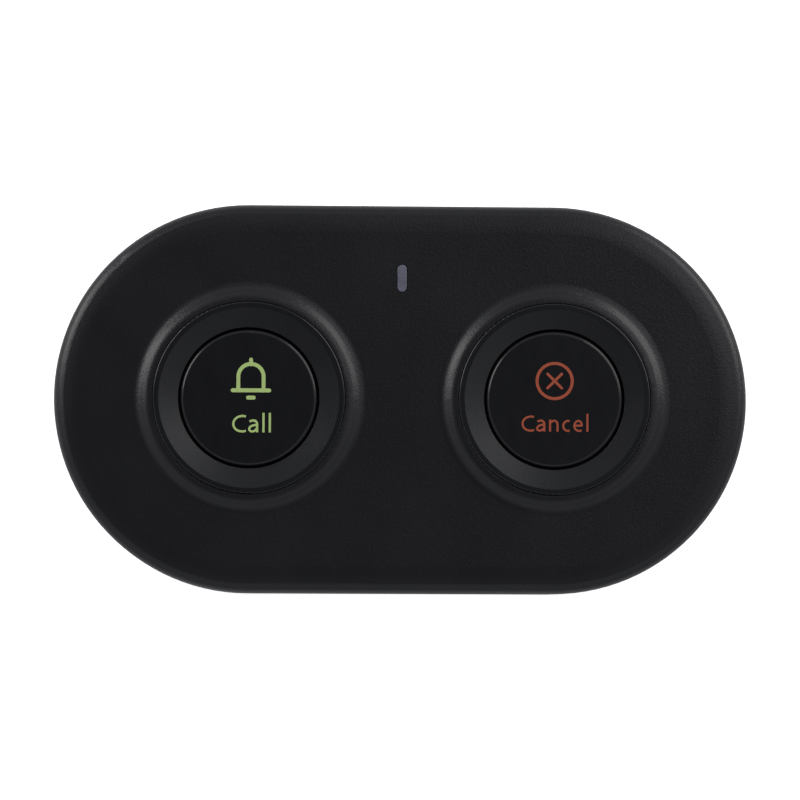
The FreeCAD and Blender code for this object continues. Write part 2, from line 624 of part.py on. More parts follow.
def make_base_shell():
    """The lower shell, with the battery opening, the door's track and the posts for the board."""
    body = new_body("base_shell")
    shell = sketch_on(body, "XY_Plane", "base_outline", "levels.underside")
    obround(shell, "levels.half_pitch", "levels.end_radius")
    raise_pad(body, shell, "levels.base_rim - levels.underside")
    round_edges(body, edges_at(body.Shape, value_of("levels.underside")), "sizes.base_round")

    hollow = sketch_on(body, "XY_Plane", "base_hollow", "levels.base_rim")
    obround(hollow, "levels.half_pitch", "levels.inner_radius")
    cut(body, hollow, "levels.base_rim - levels.floor_top")

    lip = sketch_on(body, "XY_Plane", "locating_lip", "levels.base_rim")
    obround(lip, "levels.half_pitch", "levels.inner_radius + sizes.lip_wall")
    obround(lip, "levels.half_pitch", "levels.inner_radius")
    raise_pad(body, lip, "sizes.seam_gap + sizes.lip_height")

    posts = sketch_on(body, "XY_Plane", "base_posts", "levels.floor_top")
    boss_circles(posts, "sizes.boss_radius")
    raise_pad(body, posts, "sizes.seam_height - levels.floor_top")
    roots = sketch_on(body, "XY_Plane", "post_roots", "levels.floor_top")
    boss_circles(roots, "sizes.boss_radius + 4 * sizes.boss_play")
    raise_pad(body, roots, "levels.base_rim - levels.floor_top")

    carriers = sketch_on(body, "XY_Plane", "board_posts", "levels.floor_top")
    for _, sign in SIDES:
        circle(carriers, f"{sign} * levels.board_screw_x", "0", "sizes.post_radius")
        circle(carriers, f"{sign} * levels.half_pitch", "0", "sizes.post_radius")
        edge_x = f"{sign} * (sizes.contact_width + sizes.post_radius)"
        circle(carriers, edge_x, "levels.board_radius - sizes.post_radius", "sizes.post_radius")
    raise_pad(body, carriers, "levels.board_bottom - levels.floor_top")
    pilots = sketch_on(body, "XY_Plane", "board_pilots", "levels.board_bottom")
    for _, sign in SIDES:
        circle(pilots, f"{sign} * levels.board_screw_x", "0", "sizes.board_screw_radius + sizes.pilot_play")
    cut(body, pilots, "sizes.board_screw_grip + sizes.pilot_spare")

    groove_half = "sizes.door_half + sizes.tongue_reach + sizes.door_play"
    rail_outer = f"{groove_half} + sizes.rail_width"
    opening_half = "sizes.door_half + sizes.door_play"
    rails = sketch_on(body, "XY_Plane", "door_rails", "levels.floor_top")
    for sign in (1, -1):
        near, far = f"{sign} * ({opening_half})", f"{sign} * ({rail_outer})"
        left, right = (near, far) if sign == 1 else (far, near)
        rectangle(rails, left, "-levels.inner_radius", right, "levels.door_back")
    raise_pad(body, rails, "sizes.rail_height")

    outside = "-levels.end_radius - sizes.cut_clear"
    opening = sketch_on(body, "XY_Plane", "door_opening", "levels.underside")
    rectangle(opening, f"-({opening_half})", outside, opening_half, "levels.door_back + sizes.door_play")
    cut(body, opening, "sizes.floor_wall", up=True)
    front = sketch_on(body, "XY_Plane", "door_front_notch", "levels.underside")
    front_half = "levels.door_front_half + sizes.door_play"
    rectangle(front, f"-({front_half})", outside, front_half, "-levels.inner_radius + sizes.door_play")
    cut(body, front, "sizes.door_lip + sizes.door_play", up=True)
    grooves = sketch_on(body, "XY_Plane", "door_grooves", "levels.tongue_bottom - sizes.door_play")
    groove_back = "levels.door_back + sizes.tongue_reach + sizes.door_play"
    rectangle(grooves, f"-({groove_half})", outside, groove_half, groove_back)
    cut(body, grooves, "sizes.tongue_thickness + 2 * sizes.door_play", up=True)

    recesses = sketch_on(body, "XY_Plane", "pad_recesses", "levels.underside")
    for _, sign in SIDES:
        pad_outline(recesses, sign, "levels.half_pitch", "sizes.pad_play")
    cut(body, recesses, "sizes.pad_recess", up=True)
    sinks = sketch_on(body, "XY_Plane", "screw_sinks", "levels.underside")
    boss_circles(sinks, "levels.head_recess")
    cut(body, sinks, "sizes.head_height + sizes.head_play", up=True)
    holes = sketch_on(body, "XY_Plane", "screw_holes", "levels.underside")
    boss_circles(holes, "sizes.case_screw_radius + sizes.screw_play")
    cut(body, holes, "sizes.seam_height - levels.underside", up=True)
    return body


def pad_outline(sketch, sign, axis_x, play):
    """Draws the outline of a mounting pad, or of its recess with some play, outboard of axis_x."""
    near = f"{sign} * ({axis_x} + levels.pad_end - sizes.pad_width - {play})"
    far = f"{sign} * ({axis_x} + levels.pad_end + {play})"
    left, right = (near, far) if sign == 1 else (far, near)
    half_length = f"levels.pad_half_length + {play}"
    rectangle(sketch, left, f"-({half_length})", right, half_length, f"sizes.pad_corner + {play}")


def make_mounting_pad(name, sign):
    """One of the two foam pads that stick the transmitter to a table or a wall."""
    body = new_body(name, x=f"{sign} * levels.half_pitch")
    face = sketch_on(body, "XY_Plane", f"{name}_outline")
    pad_outline(face, sign, "0", "0")
    raise_pad(body, face, "sizes.pad_proud + sizes.pad_recess")
    return body


def make_battery_door():
    """The door under the coin cell. It slides out through the case's long side on its tongues."""
    body = new_body("battery_door")
    plate = sketch_on(body, "XY_Plane", "door_plate", "levels.underside")
    rectangle(plate, "-sizes.door_half", "-levels.end_radius", "sizes.door_half", "levels.door_back")
    raise_pad(body, plate, "sizes.floor_wall")
    front = sketch_on(body, "XY_Plane", "door_front", "levels.underside")
    wall_line = "-levels.inner_radius"
    rectangle(front, "-levels.door_front_half", "-levels.end_radius", "levels.door_front_half", wall_line)
    raise_pad(body, front, "sizes.door_lip")
    front_y = value_of("-levels.end_radius")
    bottom = edges_at(
        body.Shape,
        value_of("levels.underside"),
        keep=lambda edge: abs(edge.BoundBox.YMax - front_y) < TOLERANCE,
    )
    round_edges(body, bottom, "sizes.base_round")
    tongues = sketch_on(body, "XY_Plane", "door_tongues", "levels.tongue_bottom")
    half = "sizes.door_half + sizes.tongue_reach"
    tip = "levels.door_back + sizes.tongue_reach"
    outline(
        tongues,
        (f"-({half})", f"{wall_line} - sizes.side_wall / 2"),
        (half, f"{wall_line} - sizes.side_wall / 2"),
        (half, tip, "sizes.tongue_reach / 2"),
        (f"-({half})", tip, "sizes.tongue_reach / 2"),
    )
    raise_pad(body, tongues, "sizes.tongue_thickness")

    ribs = sketch_on(body, "XY_Plane", "cell_ribs", "levels.floor_top")
    for sign in (1, -1):
        middle = f"{sign} * levels.cell_radius / 2"
        rectangle(
            ribs,
            f"{middle} - sizes.tongue_thickness / 2",
            "levels.cell_y - levels.cell_radius * 0.8",
            f"{middle} + sizes.tongue_thickness / 2",
            "levels.cell_y + levels.cell_radius * 0.8",
        )
    raise_pad(body, ribs, "sizes.cell_play / 2")

    grip = sketch_on(body, "XY_Plane", "grip_groove", "levels.underside")
    near = "-levels.end_radius + 2.5 * sizes.base_round"
    far = f"{near} + sizes.grip_width"
    rectangle(grip, "-sizes.door_half / 2", near, "sizes.door_half / 2", far, "sizes.grip_width / 2.2")
    groove = cut(body, grip, "sizes.floor_wall / 4", up=True)
    repeat_along(body, "Y_Axis", [groove], f"{GRIP_GROOVE_COUNT - 1} * sizes.grip_pitch", GRIP_GROOVE_COUNT)
    return body


# ---------------------------------------------------------------------------------------------------------
# Buttons


def make_collar(name, sign):
    """The dished ring round a cap. It is hollow underneath, and its three ears are staked to the cover."""
    body = new_body(f"{name}_collar", x=f"{sign} * levels.half_pitch")
    ring = sketch_on(body, "XZ_Plane", f"{name}_collar_profile")
    slope = "sizes.collar_dish / (sizes.collar_width - sizes.collar_rim)"
    inner_skirt = "levels.collar_inner + sizes.collar_wall"
    outer_skirt = "levels.collar_outer - sizes.collar_wall"
    under_inner = f"levels.collar_inner_edge + {slope} * sizes.collar_wall - sizes.collar_wall * 1.1"
    under_outer = "levels.collar_outer_edge - sizes.collar_wall * 1.1"
    outline(
        ring,
        ("levels.collar_inner", "levels.collar_bottom"),
        (inner_skirt, "levels.collar_bottom"),
        (inner_skirt, under_inner),
        (outer_skirt, under_outer),
        (outer_skirt, "levels.collar_bottom"),
        ("levels.collar_outer", "levels.collar_bottom"),
        ("levels.collar_outer", "levels.flange_bottom"),
        ("levels.flange_radius", "levels.flange_bottom"),
        ("levels.flange_radius", "levels.ceiling"),
        ("levels.collar_outer", "levels.ceiling"),
        ("levels.collar_outer", "levels.collar_outer_edge", "sizes.collar_round"),
        ("levels.collar_outer - sizes.collar_rim", "levels.collar_outer_edge", "2 * sizes.collar_round"),
        ("levels.collar_inner", "levels.collar_inner_edge", "sizes.well_edge"),
    )
    turn(body, ring)

    first_ear = EAR_ANGLES[-1]
    ear = sketch_on(body, "XY_Plane", f"{name}_ear", "levels.flange_bottom")
    spin(ear, first_ear)
    rectangle(
        ear,
        "levels.flange_radius - sizes.collar_flange / 2",
        "-sizes.ear_radius",
        "levels.stake_circle + sizes.ear_radius",
        "sizes.ear_radius",
        "sizes.collar_flange / 3",
    )
    tab = raise_pad(body, ear, "sizes.flange_thickness")
    eye = sketch_on(body, "XY_Plane", f"{name}_ear_hole", "levels.flange_bottom")
    spin(eye, first_ear)
    circle(eye, "levels.stake_circle", "0", "sizes.stake_radius + sizes.stake_play")
    hole = cut(body, eye, "sizes.flange_thickness", up=True)
    repeat_round(body, [tab, hole], len(EAR_ANGLES))

    notch = sketch_on(body, "XY_Plane", f"{name}_key_notch", "levels.collar_bottom")
    half_notch = "sizes.key_width / 2 + sizes.key_play"
    notch_start = "levels.collar_inner - sizes.cap_gap / 2"
    rectangle(notch, notch_start, f"-({half_notch})", f"{inner_skirt} + sizes.key_play", half_notch)
    mirror(body, cut(body, notch, "levels.key_height + sizes.key_play", up=True))
    return body


def make_cap(name, sign):
    """A button cap. Its flange hooks under the collar, and two lugs in notches there stop it turning."""
    body = new_body(f"{name}_cap", x=f"{sign} * levels.half_pitch")
    profile = sketch_on(body, "XZ_Plane", f"{name}_cap_profile")
    flange_bottom = "levels.collar_bottom - sizes.cap_flange_thickness"
    outline(
        profile,
        ("0", "levels.stem_top"),
        ("sizes.cap_post_radius", "levels.stem_top"),
        ("sizes.cap_post_radius", "levels.cap_ceiling"),
        ("levels.cap_bore", "levels.cap_ceiling", "sizes.cap_round"),
        ("levels.cap_bore", flange_bottom),
        ("levels.cap_flange_radius", flange_bottom),
        ("levels.cap_flange_radius", "levels.collar_bottom"),
        ("sizes.cap_radius", "levels.collar_bottom"),
        ("sizes.cap_radius", "levels.cap_top", "sizes.cap_round"),
        ("0", "levels.cap_top"),
    )
    turn(body, profile)
    key = sketch_on(body, "XY_Plane", f"{name}_key", "levels.collar_bottom")
    key_start = "sizes.cap_radius - sizes.cap_wall / 2"
    rectangle(key, key_start, "-sizes.key_width / 2", "levels.cap_flange_radius", "sizes.key_width / 2")
    mirror(body, raise_pad(body, key, "levels.key_height"))

    rib = sketch_on(body, "XY_Plane", f"{name}_post_rib", "levels.cap_ceiling")
    half_rib = "sizes.cap_wall / 3"
    rectangle(rib, "sizes.cap_post_radius / 2", f"-({half_rib})", f"levels.cap_bore + {half_rib}", half_rib)
    spoke = lower_pad(body, rib, "sizes.cap_post / 2")
    repeat_round(body, [spoke], CAP_RIB_COUNT)
    return body


# ---------------------------------------------------------------------------------------------------------
# Key switches under the caps


def make_switch_housing(name, sign):
    """The square plastic box of a key switch, open on top, with four rivets for its cover plate."""
    body = new_body(f"{name}_switch_housing", x=f"{sign} * levels.half_pitch")
    box = sketch_on(body, "XY_Plane", f"{name}_switch_box", "levels.board_top")
    half = "sizes.switch_width / 2"
    rectangle(box, f"-{half}", f"-{half}", half, half, "sizes.switch_plate")
    raise_pad(body, box, "levels.plate_bottom - levels.board_top")
    bore = sketch_on(body, "XY_Plane", f"{name}_switch_bore", "levels.plate_bottom")
    circle(bore, "0", "0", "levels.switch_bore")
    cut(body, bore, "levels.plate_bottom - levels.dome_base")
    rivets = sketch_on(body, "XY_Plane", f"{name}_rivets", "levels.plate_bottom")
    rivet_heads = sketch_on(body, "XY_Plane", f"{name}_rivet_heads", "levels.plate_top")
    for x_sign, y_sign in DIAGONALS:
        x, y = f"{x_sign} * levels.rivet_place", f"{y_sign} * levels.rivet_place"
        circle(rivets, x, y, "sizes.rivet_radius")
        circle(rivet_heads, x, y, "sizes.rivet_radius + 2 * sizes.stem_play")
    raise_pad(body, rivets, "sizes.switch_plate")
    raise_pad(body, rivet_heads, "sizes.switch_plate / 2")
    return body


def make_switch_plate(name, sign):
    """The sheet metal plate that keeps the stem in a key switch."""
    body = new_body(f"{name}_switch_plate", x=f"{sign} * levels.half_pitch")
    plate = sketch_on(body, "XY_Plane", f"{name}_plate", "levels.plate_bottom")
    half = "sizes.switch_width / 2"
    rectangle(plate, f"-{half}", f"-{half}", half, half, "sizes.switch_plate")
    circle(plate, "0", "0", "sizes.stem_radius + sizes.stem_play")
    for x_sign, y_sign in DIAGONALS:
        x, y = f"{x_sign} * levels.rivet_place", f"{y_sign} * levels.rivet_place"
        circle(plate, x, y, "sizes.rivet_radius + sizes.stem_play")
    raise_pad(body, plate, "sizes.switch_plate")
    return body


def make_switch_stem(name, sign):
    """The stem of a key switch. Its wide foot stays under the plate and rests on the snap dome."""
    body = new_body(f"{name}_switch_stem", x=f"{sign} * levels.half_pitch")
    profile = sketch_on(body, "XZ_Plane", f"{name}_stem_profile")
    foot_radius = "levels.switch_bore - sizes.stem_play"
    outline(
        profile,
        ("0", "levels.dome_top"),
        (foot_radius, "levels.dome_top", "sizes.stem_play"),
        (foot_radius, "levels.plate_bottom"),
        ("sizes.stem_radius", "levels.plate_bottom"),
        ("sizes.stem_radius", "levels.stem_top", "2 * sizes.stem_play"),
        ("0", "levels.stem_top"),
    )
    turn(body, profile)
    return body


def make_switch_dome(name, sign):
    """The snap dome that springs a key switch back. It flattens as the stem goes down."""
    body = new_body(f"{name}_switch_dome", x=f"{sign} * levels.half_pitch")
    profile = sketch_on(body, "XZ_Plane", f"{name}_dome_profile")
    flat = "sizes.dome_radius * 0.4"
    outline(
        profile,
        ("0", "levels.dome_top - sizes.dome_thickness"),
        (flat, "levels.dome_top - sizes.dome_thickness"),
        ("sizes.dome_radius - 2 * sizes.dome_thickness", "levels.dome_base"),
        ("sizes.dome_radius", "levels.dome_base"),
        (f"{flat} + sizes.dome_thickness", "levels.dome_top"),
        ("0", "levels.dome_top"),
    )
    turn(body, profile)
    return body


def lead_profile(sketch, sign, start, reach, foot, top):
    """Draws one gull-wing lead from start outwards. It leaves the package at top and lands on the board."""
    sheet, floor = "sizes.contact_sheet", "levels.board_top"

    def along(place):
        return f"{sign} * ({place})"
    knee = f"{start} + {reach}"
    toe = f"{knee} + {foot}"
    outline(
        sketch,
        (along(start), top),
        (along(f"{knee} + {sheet}"), top),
        (along(f"{knee} + {sheet}"), f"{floor} + {sheet}"),
        (along(toe), f"{floor} + {sheet}"),
        (along(toe), floor),
        (along(knee), floor),
        (along(knee), f"{top} - {sheet}"),
        (along(start), f"{top} - {sheet}"),
    )


def make_switch_leads():
    """The eight leads of the two key switches."""
    body = new_body("switch_leads")
    profile = sketch_on(
        body, "XZ_Plane", "switch_lead", "sizes.switch_width * 0.375", shift="levels.half_pitch"
    )
    top = "levels.board_top + sizes.switch_floor"
    for sign in (1, -1):
        reach, foot = "sizes.switch_lead_reach", "sizes.switch_lead_foot"
        lead_profile(profile, sign, "sizes.switch_width / 2", reach, foot, top)
    raise_pad(body, profile, "sizes.switch_lead_width", symmetric=True)
    mirror(body, role="XZ_Plane")
    mirror(body)
    return body


# ---------------------------------------------------------------------------------------------------------
# Circuit board and the parts on it


def make_circuit_board():
    """The circuit board, an obround held by a screw near each end."""
    body = new_body("circuit_board")
    face = sketch_on(body, "XY_Plane", "board_outline", "levels.board_bottom")
    obround(face, "levels.half_pitch", "levels.board_radius")
    for _, sign in SIDES:
        circle(face, f"{sign} * levels.board_screw_x", "0", "sizes.board_screw_radius + sizes.screw_play")
    raise_pad(body, face, "sizes.board_thickness")
    return body


def make_chip(label, x, y, length, width, height):
    """A moulded package that stands clear of the board on its leads, with a dimple at its first lead."""
    body = new_body(label, x, y)
    stand = "levels.board_top + sizes.chip_stand"
    face = sketch_on(body, "XY_Plane", f"{label}_face", stand)
    rectangle(face, f"-{length} / 2", f"-{width} / 2", f"{length} / 2", f"{width} / 2")
    raise_pad(body, face, height)
    top = f"{stand} + {height}"
    round_edges(body, edges_at(body.Shape, value_of(top)), f"{height} / 5", kind="Chamfer")
    dimple = sketch_on(body, "XY_Plane", f"{label}_dimple", top)
    circle(dimple, f"{height} * 0.7 - {length} / 2", f"{height} * 0.7 - {width} / 2", f"{height} / 5")
    cut(body, dimple, f"{height} / 12")
    return body


def make_chip_leads():
    """The leads of both packages, in rows along their long sides."""
    body = new_body("chip_leads")
    for label, x, y, per_side in (
        ("controller", "sizes.controller_x", "levels.controller_y", CONTROLLER_LEAD_COUNT),
        ("radio", "sizes.radio_x", "levels.radio_y", RADIO_LEAD_COUNT),
    ):
        row = f"{per_side - 1} * sizes.lead_pitch"
        profile = sketch_on(body, "YZ_Plane", f"{label}_lead", f"{x} - {row} / 2", shift=y)
        top = "levels.board_top + sizes.chip_stand + sizes.chip_height / 2"
        for sign in (1, -1):
            lead_profile(profile, sign, "sizes.chip_width / 2", "sizes.lead_reach", "sizes.lead_foot", top)
        pair = raise_pad(body, profile, "sizes.lead_width", symmetric=True)
        repeat_along(body, "X_Axis", [pair], row, per_side)
    return body


def make_crystal():
    """The crystal that sets the radio's frequency, in a metal can with a rim."""
    body = new_body("crystal", "sizes.crystal_x", "levels.crystal_y")
    half_length, half_width = "sizes.crystal_length / 2", "sizes.crystal_width / 2"
    step = "sizes.crystal_height / 2"
    rim = sketch_on(body, "XY_Plane", "crystal_rim", "levels.board_top")
    rectangle(rim, f"-{half_length}", f"-{half_width}", half_length, half_width, f"{step} / 2")
    raise_pad(body, rim, step)
    can = sketch_on(body, "XY_Plane", "crystal_can", f"levels.board_top + {step}")
    inner_length, inner_width = f"({half_length} - {step} / 2)", f"({half_width} - {step} / 2)"
    rectangle(can, f"-{inner_length}", f"-{inner_width}", inner_length, inner_width, f"{step} / 2")
    raise_pad(body, can, step)
    return body


def make_chip_parts():
    """The small resistors and capacitors on the board."""
    body = new_body("chip_parts")
    bodies = sketch_on(body, "XY_Plane", "chip_part_outlines", "levels.board_top")
    half_sizes = ("sizes.chip_part_length / 2", "sizes.chip_part_width / 2")
    for x, edge, inset, along_case in CHIP_PART_PLACES:
        half_x, half_y = half_sizes if along_case else half_sizes[::-1]
        y = f"{edge} * (levels.board_radius - {inset})"
        rectangle(bodies, f"{x} - {half_x}", f"{y} - {half_y}", f"{x} + {half_x}", f"{y} + {half_y}")
    raise_pad(body, bodies, "sizes.chip_part_height")
    return body


def make_status_lamp():
    """The lamp under the lens: a base on the board with a clear block on top."""
    body = new_body("status_lamp", y="levels.lamp_y")
    half_length, half_width = "sizes.lamp_base_length / 2", "sizes.lamp_base_width / 2"
    base = sketch_on(body, "XY_Plane", "lamp_base", "levels.board_top")
    rectangle(base, f"-{half_length}", f"-{half_width}", half_length, half_width)
    raise_pad(body, base, "sizes.lamp_height / 2")
    block = sketch_on(body, "XY_Plane", "lamp_block", "levels.board_top + sizes.lamp_height / 2")
    inner_length, inner_width = f"{half_length} * 0.6", f"{half_width} * 0.85"
    corner = "sizes.lamp_height / 6"
    rectangle(block, f"-{inner_length}", f"-{inner_width}", inner_length, inner_width, corner)
    raise_pad(body, block, "sizes.lamp_height / 2")
    return body


def make_lamp_lens():
    """The light pipe over the lamp. It fills the slot in the cover, and its flange lies under the cover."""
    body = new_body("lamp_lens", y="levels.lamp_y")
    span = "(sizes.lamp_length - sizes.lamp_width) / 2"
    bottom = "levels.board_top + sizes.lamp_height + sizes.lamp_air"
    pipe = sketch_on(body, "XY_Plane", "light_pipe", bottom)
    obround(pipe, span, "sizes.lamp_width / 2 - sizes.lens_play", upright=True)
    raise_pad(body, pipe, f"levels.deck - ({bottom})")
    round_edges(body, edges_at(body.Shape, value_of("levels.deck")), "sizes.lens_play * 2")
    flange = sketch_on(body, "XY_Plane", "lens_flange", "levels.ceiling")
    obround(flange, span, "sizes.lamp_width / 2 + sizes.lamp_flange", upright=True)
    lower_pad(body, flange, "sizes.lamp_flange")
    return body


def make_antenna_coil():
    """The spring-like antenna, with a foot at each end soldered to the board."""
    body = new_body("antenna_coil", "sizes.antenna_x", "levels.antenna_y")
    axis_height = "levels.board_top + 3 * sizes.antenna_wire + sizes.antenna_radius"
    wire = sketch_on(body, "XZ_Plane", "antenna_wire_end", lift=axis_height)
    circle(wire, "0", "-sizes.antenna_radius", "sizes.antenna_wire")
    coil = body.newObject("PartDesign::AdditiveHelix", "antenna_turns")
    coil.Profile = wire
    coil.ReferenceAxis = (wire, ["H_Axis"])
    coil.Mode = "pitch-height-angle"
    coil.setExpression("Pitch", "sizes.antenna_pitch")
    coil.setExpression("Height", "levels.antenna_length")
    document.recompute()
    feet = sketch_on(body, "XY_Plane", "antenna_feet", "levels.board_top")
    for place in ("0", "levels.antenna_length"):
        circle(feet, place, "0", "sizes.antenna_wire")
    raise_pad(body, feet, "3 * sizes.antenna_wire")
    return body


# ---------------------------------------------------------------------------------------------------------
# Coin cell, holder and contacts


def make_coin_cell():
    """The coin cell. Its wide case faces the door, and its smaller end cap faces the board."""
    body = new_body("coin_cell", y="levels.cell_y")
    profile = sketch_on(body, "XZ_Plane", "cell_profile")
    shoulder = "levels.cell_top - sizes.cell_height / 12"
    cap_edge = "levels.cell_radius - sizes.cell_height * 0.35"
    outline(
        profile,
        ("0", "levels.cell_bottom"),
        ("levels.cell_radius", "levels.cell_bottom", "sizes.cell_height / 12"),
        ("levels.cell_radius", f"{shoulder} - sizes.cell_height / 8"),
        ("levels.cell_radius - sizes.cell_height / 6", shoulder),
        (cap_edge, shoulder),
        (cap_edge, "levels.cell_top", "sizes.cell_height / 24"),
        ("0", "levels.cell_top"),
    )
    turn(body, profile)
    return body


def make_cell_holder():
    """The ring under the board that holds the cell. Two claws keep the cell in when the door is off."""
    body = new_body("cell_holder", y="levels.cell_y")
    claw_bottom = "levels.cell_bottom - sizes.claw_thickness"
    ring = sketch_on(body, "XY_Plane", "holder_ring", "levels.cell_bottom")
    circle(ring, "0", "0", "levels.holder_outer")
    circle(ring, "0", "0", "levels.holder_inner")
    raise_pad(body, ring, "levels.board_bottom - levels.cell_bottom")
    claw = sketch_on(body, "XY_Plane", "holder_claw", claw_bottom)
    claw_start = "levels.holder_inner - sizes.claw_reach"
    claw_end = "levels.holder_inner + sizes.holder_wall * 0.8"
    rectangle(claw, claw_start, "-sizes.contact_width / 2", claw_end, "sizes.contact_width / 2")
    mirror(body, raise_pad(body, claw, "sizes.claw_thickness"))
    slot = sketch_on(body, "XY_Plane", "contact_slot", "levels.cell_bottom")
    half_slot = "sizes.contact_width / 2 + sizes.holder_play"
    past_ring = "levels.holder_outer + sizes.cut_clear"
    rectangle(slot, f"-({half_slot})", "levels.cell_radius / 2", half_slot, past_ring)
    cut(body, slot, "levels.board_bottom - levels.cell_bottom", up=True)
    nail = sketch_on(body, "XY_Plane", "nail_notch", "levels.cell_bottom")
    half_nail = "levels.cell_radius / 2"
    rectangle(nail, f"-{half_nail}", f"-({past_ring})", half_nail, f"-{half_nail}")
    cut(body, nail, "sizes.cell_height / 2", up=True)
    return body


def make_positive_contact():
    """The leaf against the cell's rim, soldered to the underside of the board."""
    body = new_body("positive_contact", y="levels.cell_y")
    profile = sketch_on(body, "YZ_Plane", "side_leaf")
    near = "levels.cell_radius + sizes.rim_play"
    tail = f"{near} + sizes.contact_width * 0.8"
    outline(
        profile,
        (near, "levels.cell_bottom + sizes.cell_height / 4"),
        (f"{near} + sizes.contact_sheet", "levels.cell_bottom + sizes.cell_height / 4"),
        (f"{near} + sizes.contact_sheet", "levels.board_bottom - sizes.contact_sheet"),
        (tail, "levels.board_bottom - sizes.contact_sheet"),
        (tail, "levels.board_bottom"),
        (near, "levels.board_bottom"),
    )
    raise_pad(body, profile, "sizes.contact_width", symmetric=True)
    return body


def make_negative_contact():
    """The sprung strip between the board and the top of the cell."""
    body = new_body("negative_contact", y="levels.cell_y")
    profile = sketch_on(body, "YZ_Plane", "spring_strip")
    sheet = "sizes.contact_sheet"
    width = "sizes.contact_width"
    outline(
        profile,
        (f"{width} * 1.5", "levels.board_bottom"),
        (f"{width} * 0.8", "levels.board_bottom"),
        (f"{width} * 0.3", f"levels.cell_top + {sheet}"),
        (f"-{width} * 0.5", f"levels.cell_top + {sheet}"),
        (f"-{width} * 0.5", "levels.cell_top"),
        (f"{width} * 0.3", "levels.cell_top"),
        (f"{width} * 0.8", f"levels.board_bottom - {sheet}"),
        (f"{width} * 1.5", f"levels.board_bottom - {sheet}"),
    )
    raise_pad(body, profile, width, symmetric=True)
    return body


# ---------------------------------------------------------------------------------------------------------
# Screws


def draw_screw(body, label, x, y, seat, radius, length, up):
    """A round-headed screw seated at height seat, its tip up or down, with a cross recess in its head."""
    profile = sketch_on(body, "XZ_Plane", f"{label}_profile", f"-({y})", shift=x)

    def level(distance):
        return f"{seat} + {1 if up else -1} * ({distance})"
    outline(
        profile,
        ("0", level("-sizes.head_height")),
        ("sizes.head_radius", level("-sizes.head_height"), "sizes.head_height / 3"),
        ("sizes.head_radius", level("0")),
        (radius, level("0")),
        (radius, level(f"{length} - {radius}")),
        (f"{radius} / 3", level(length)),
        ("0", level(length)),
    )
    turn(body, profile)
    recess = sketch_on(body, "XY_Plane", f"{label}_recess", level("-sizes.head_height"), shift=x, lift=y)
    arm, half_arm = "sizes.head_radius * 0.6", "sizes.head_radius * 0.14"
    outline(
        recess,
        (half_arm, half_arm),
        (half_arm, arm),
        (f"-({half_arm})", arm),
        (f"-({half_arm})", half_arm),
        (f"-({arm})", half_arm),
        (f"-({arm})", f"-({half_arm})"),
        (f"-({half_arm})", f"-({half_arm})"),
        (f"-({half_arm})", f"-({arm})"),
        (half_arm, f"-({arm})"),
        (half_arm, f"-({half_arm})"),
        (arm, f"-({half_arm})"),
        (arm, half_arm),
    )
    cut(body, recess, "sizes.head_height * 0.6", up=up)


def make_case_screws():
    """The four screws that join the base to the cover, driven from below."""
    body = new_body("case_screws")
    place = "levels.half_pitch + levels.boss_offset"
    seat = "levels.underside + sizes.head_height + sizes.head_play"
    length = f"sizes.seam_height + sizes.case_screw_grip - ({seat})"
    radius = "sizes.case_screw_radius"
    draw_screw(body, "case_screw", place, "levels.boss_offset", seat, radius, length, up=True)
    mirror(body)
    mirror(body, role="XZ_Plane")
    return body


def make_board_screws():
    """The two screws that hold the board on its posts, driven from above."""
    body = new_body("board_screws")
    length = "sizes.board_thickness + sizes.board_screw_grip"
    radius = "sizes.board_screw_radius"
    place, seat = "levels.board_screw_x", "levels.board_top"
    draw_screw(body, "board_screw", place, "0", seat, radius, length, up=False)
    mirror(body)
    return body


# ---------------------------------------------------------------------------------------------------------
# Assembly


def check_and_write():
    """Checks every object of the document, and writes one file for each sub-part."""
    document.recompute()
    for item in document.Objects:
        if "Invalid" in item.State or "Error" in item.State:
            raise RuntimeError(f"{item.Label} could not be built: {item.State}")
        if item.isDerivedFrom("Sketcher::SketchObject") and item.solve() != 0:
            raise RuntimeError(f"{item.Label} has a sketch that can't be solved")
        if item.isDerivedFrom("PartDesign::Feature") and (item.Shape.isNull() or not item.Shape.isValid()):
            raise RuntimeError(f"{item.Label} has no sound shape")
    os.makedirs("parts", exist_ok=True)
    for sub_part in sub_parts:
        shape = sub_part.Shape
        if shape.isNull() or not shape.isValid() or shape.Volume <= 0:
            raise RuntimeError(f"{sub_part.Label} has no sound shape")
        shape.exportStep(f"parts/{sub_part.Label}.step")
        box = shape.BoundBox
        print(f"{sub_part.Label:24s} {len(shape.Solids):2d} x {box.XMin:6.2f} {box.XMax:6.2f}"
              f"  y {box.YMin:6.2f} {box.YMax:6.2f}  z {box.ZMin:6.2f} {box.ZMax:6.2f}")


sizes_sheet = fill_sheet()
make_top_cover()
make_base_shell()
make_battery_door()
make_circuit_board()
make_status_lamp()
make_lamp_lens()
make_chip("controller_chip", "sizes.controller_x", "levels.controller_y",
          "sizes.controller_length", "sizes.chip_width", "sizes.chip_height")
make_chip("radio_chip", "sizes.radio_x", "levels.radio_y",
          "sizes.radio_length", "sizes.chip_width", "sizes.chip_height")
make_chip_leads()
make_crystal()
make_chip_parts()
make_antenna_coil()
make_coin_cell()
make_cell_holder()
make_positive_contact()
make_negative_contact()
make_switch_leads()
make_case_screws()
make_board_screws()
for side, direction in SIDES:
    make_collar(side, direction)
    make_cap(side, direction)
    make_switch_housing(side, direction)
    make_switch_plate(side, direction)
    make_switch_stem(side, direction)
    make_switch_dome(side, direction)
    make_mounting_pad(f"{side}_end_pad", direction)
check_and_write()
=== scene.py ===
import math
import bmesh
import bpy
from mathutils import Matrix, Vector
from mathutils.geometry import delaunay_2d_cdt


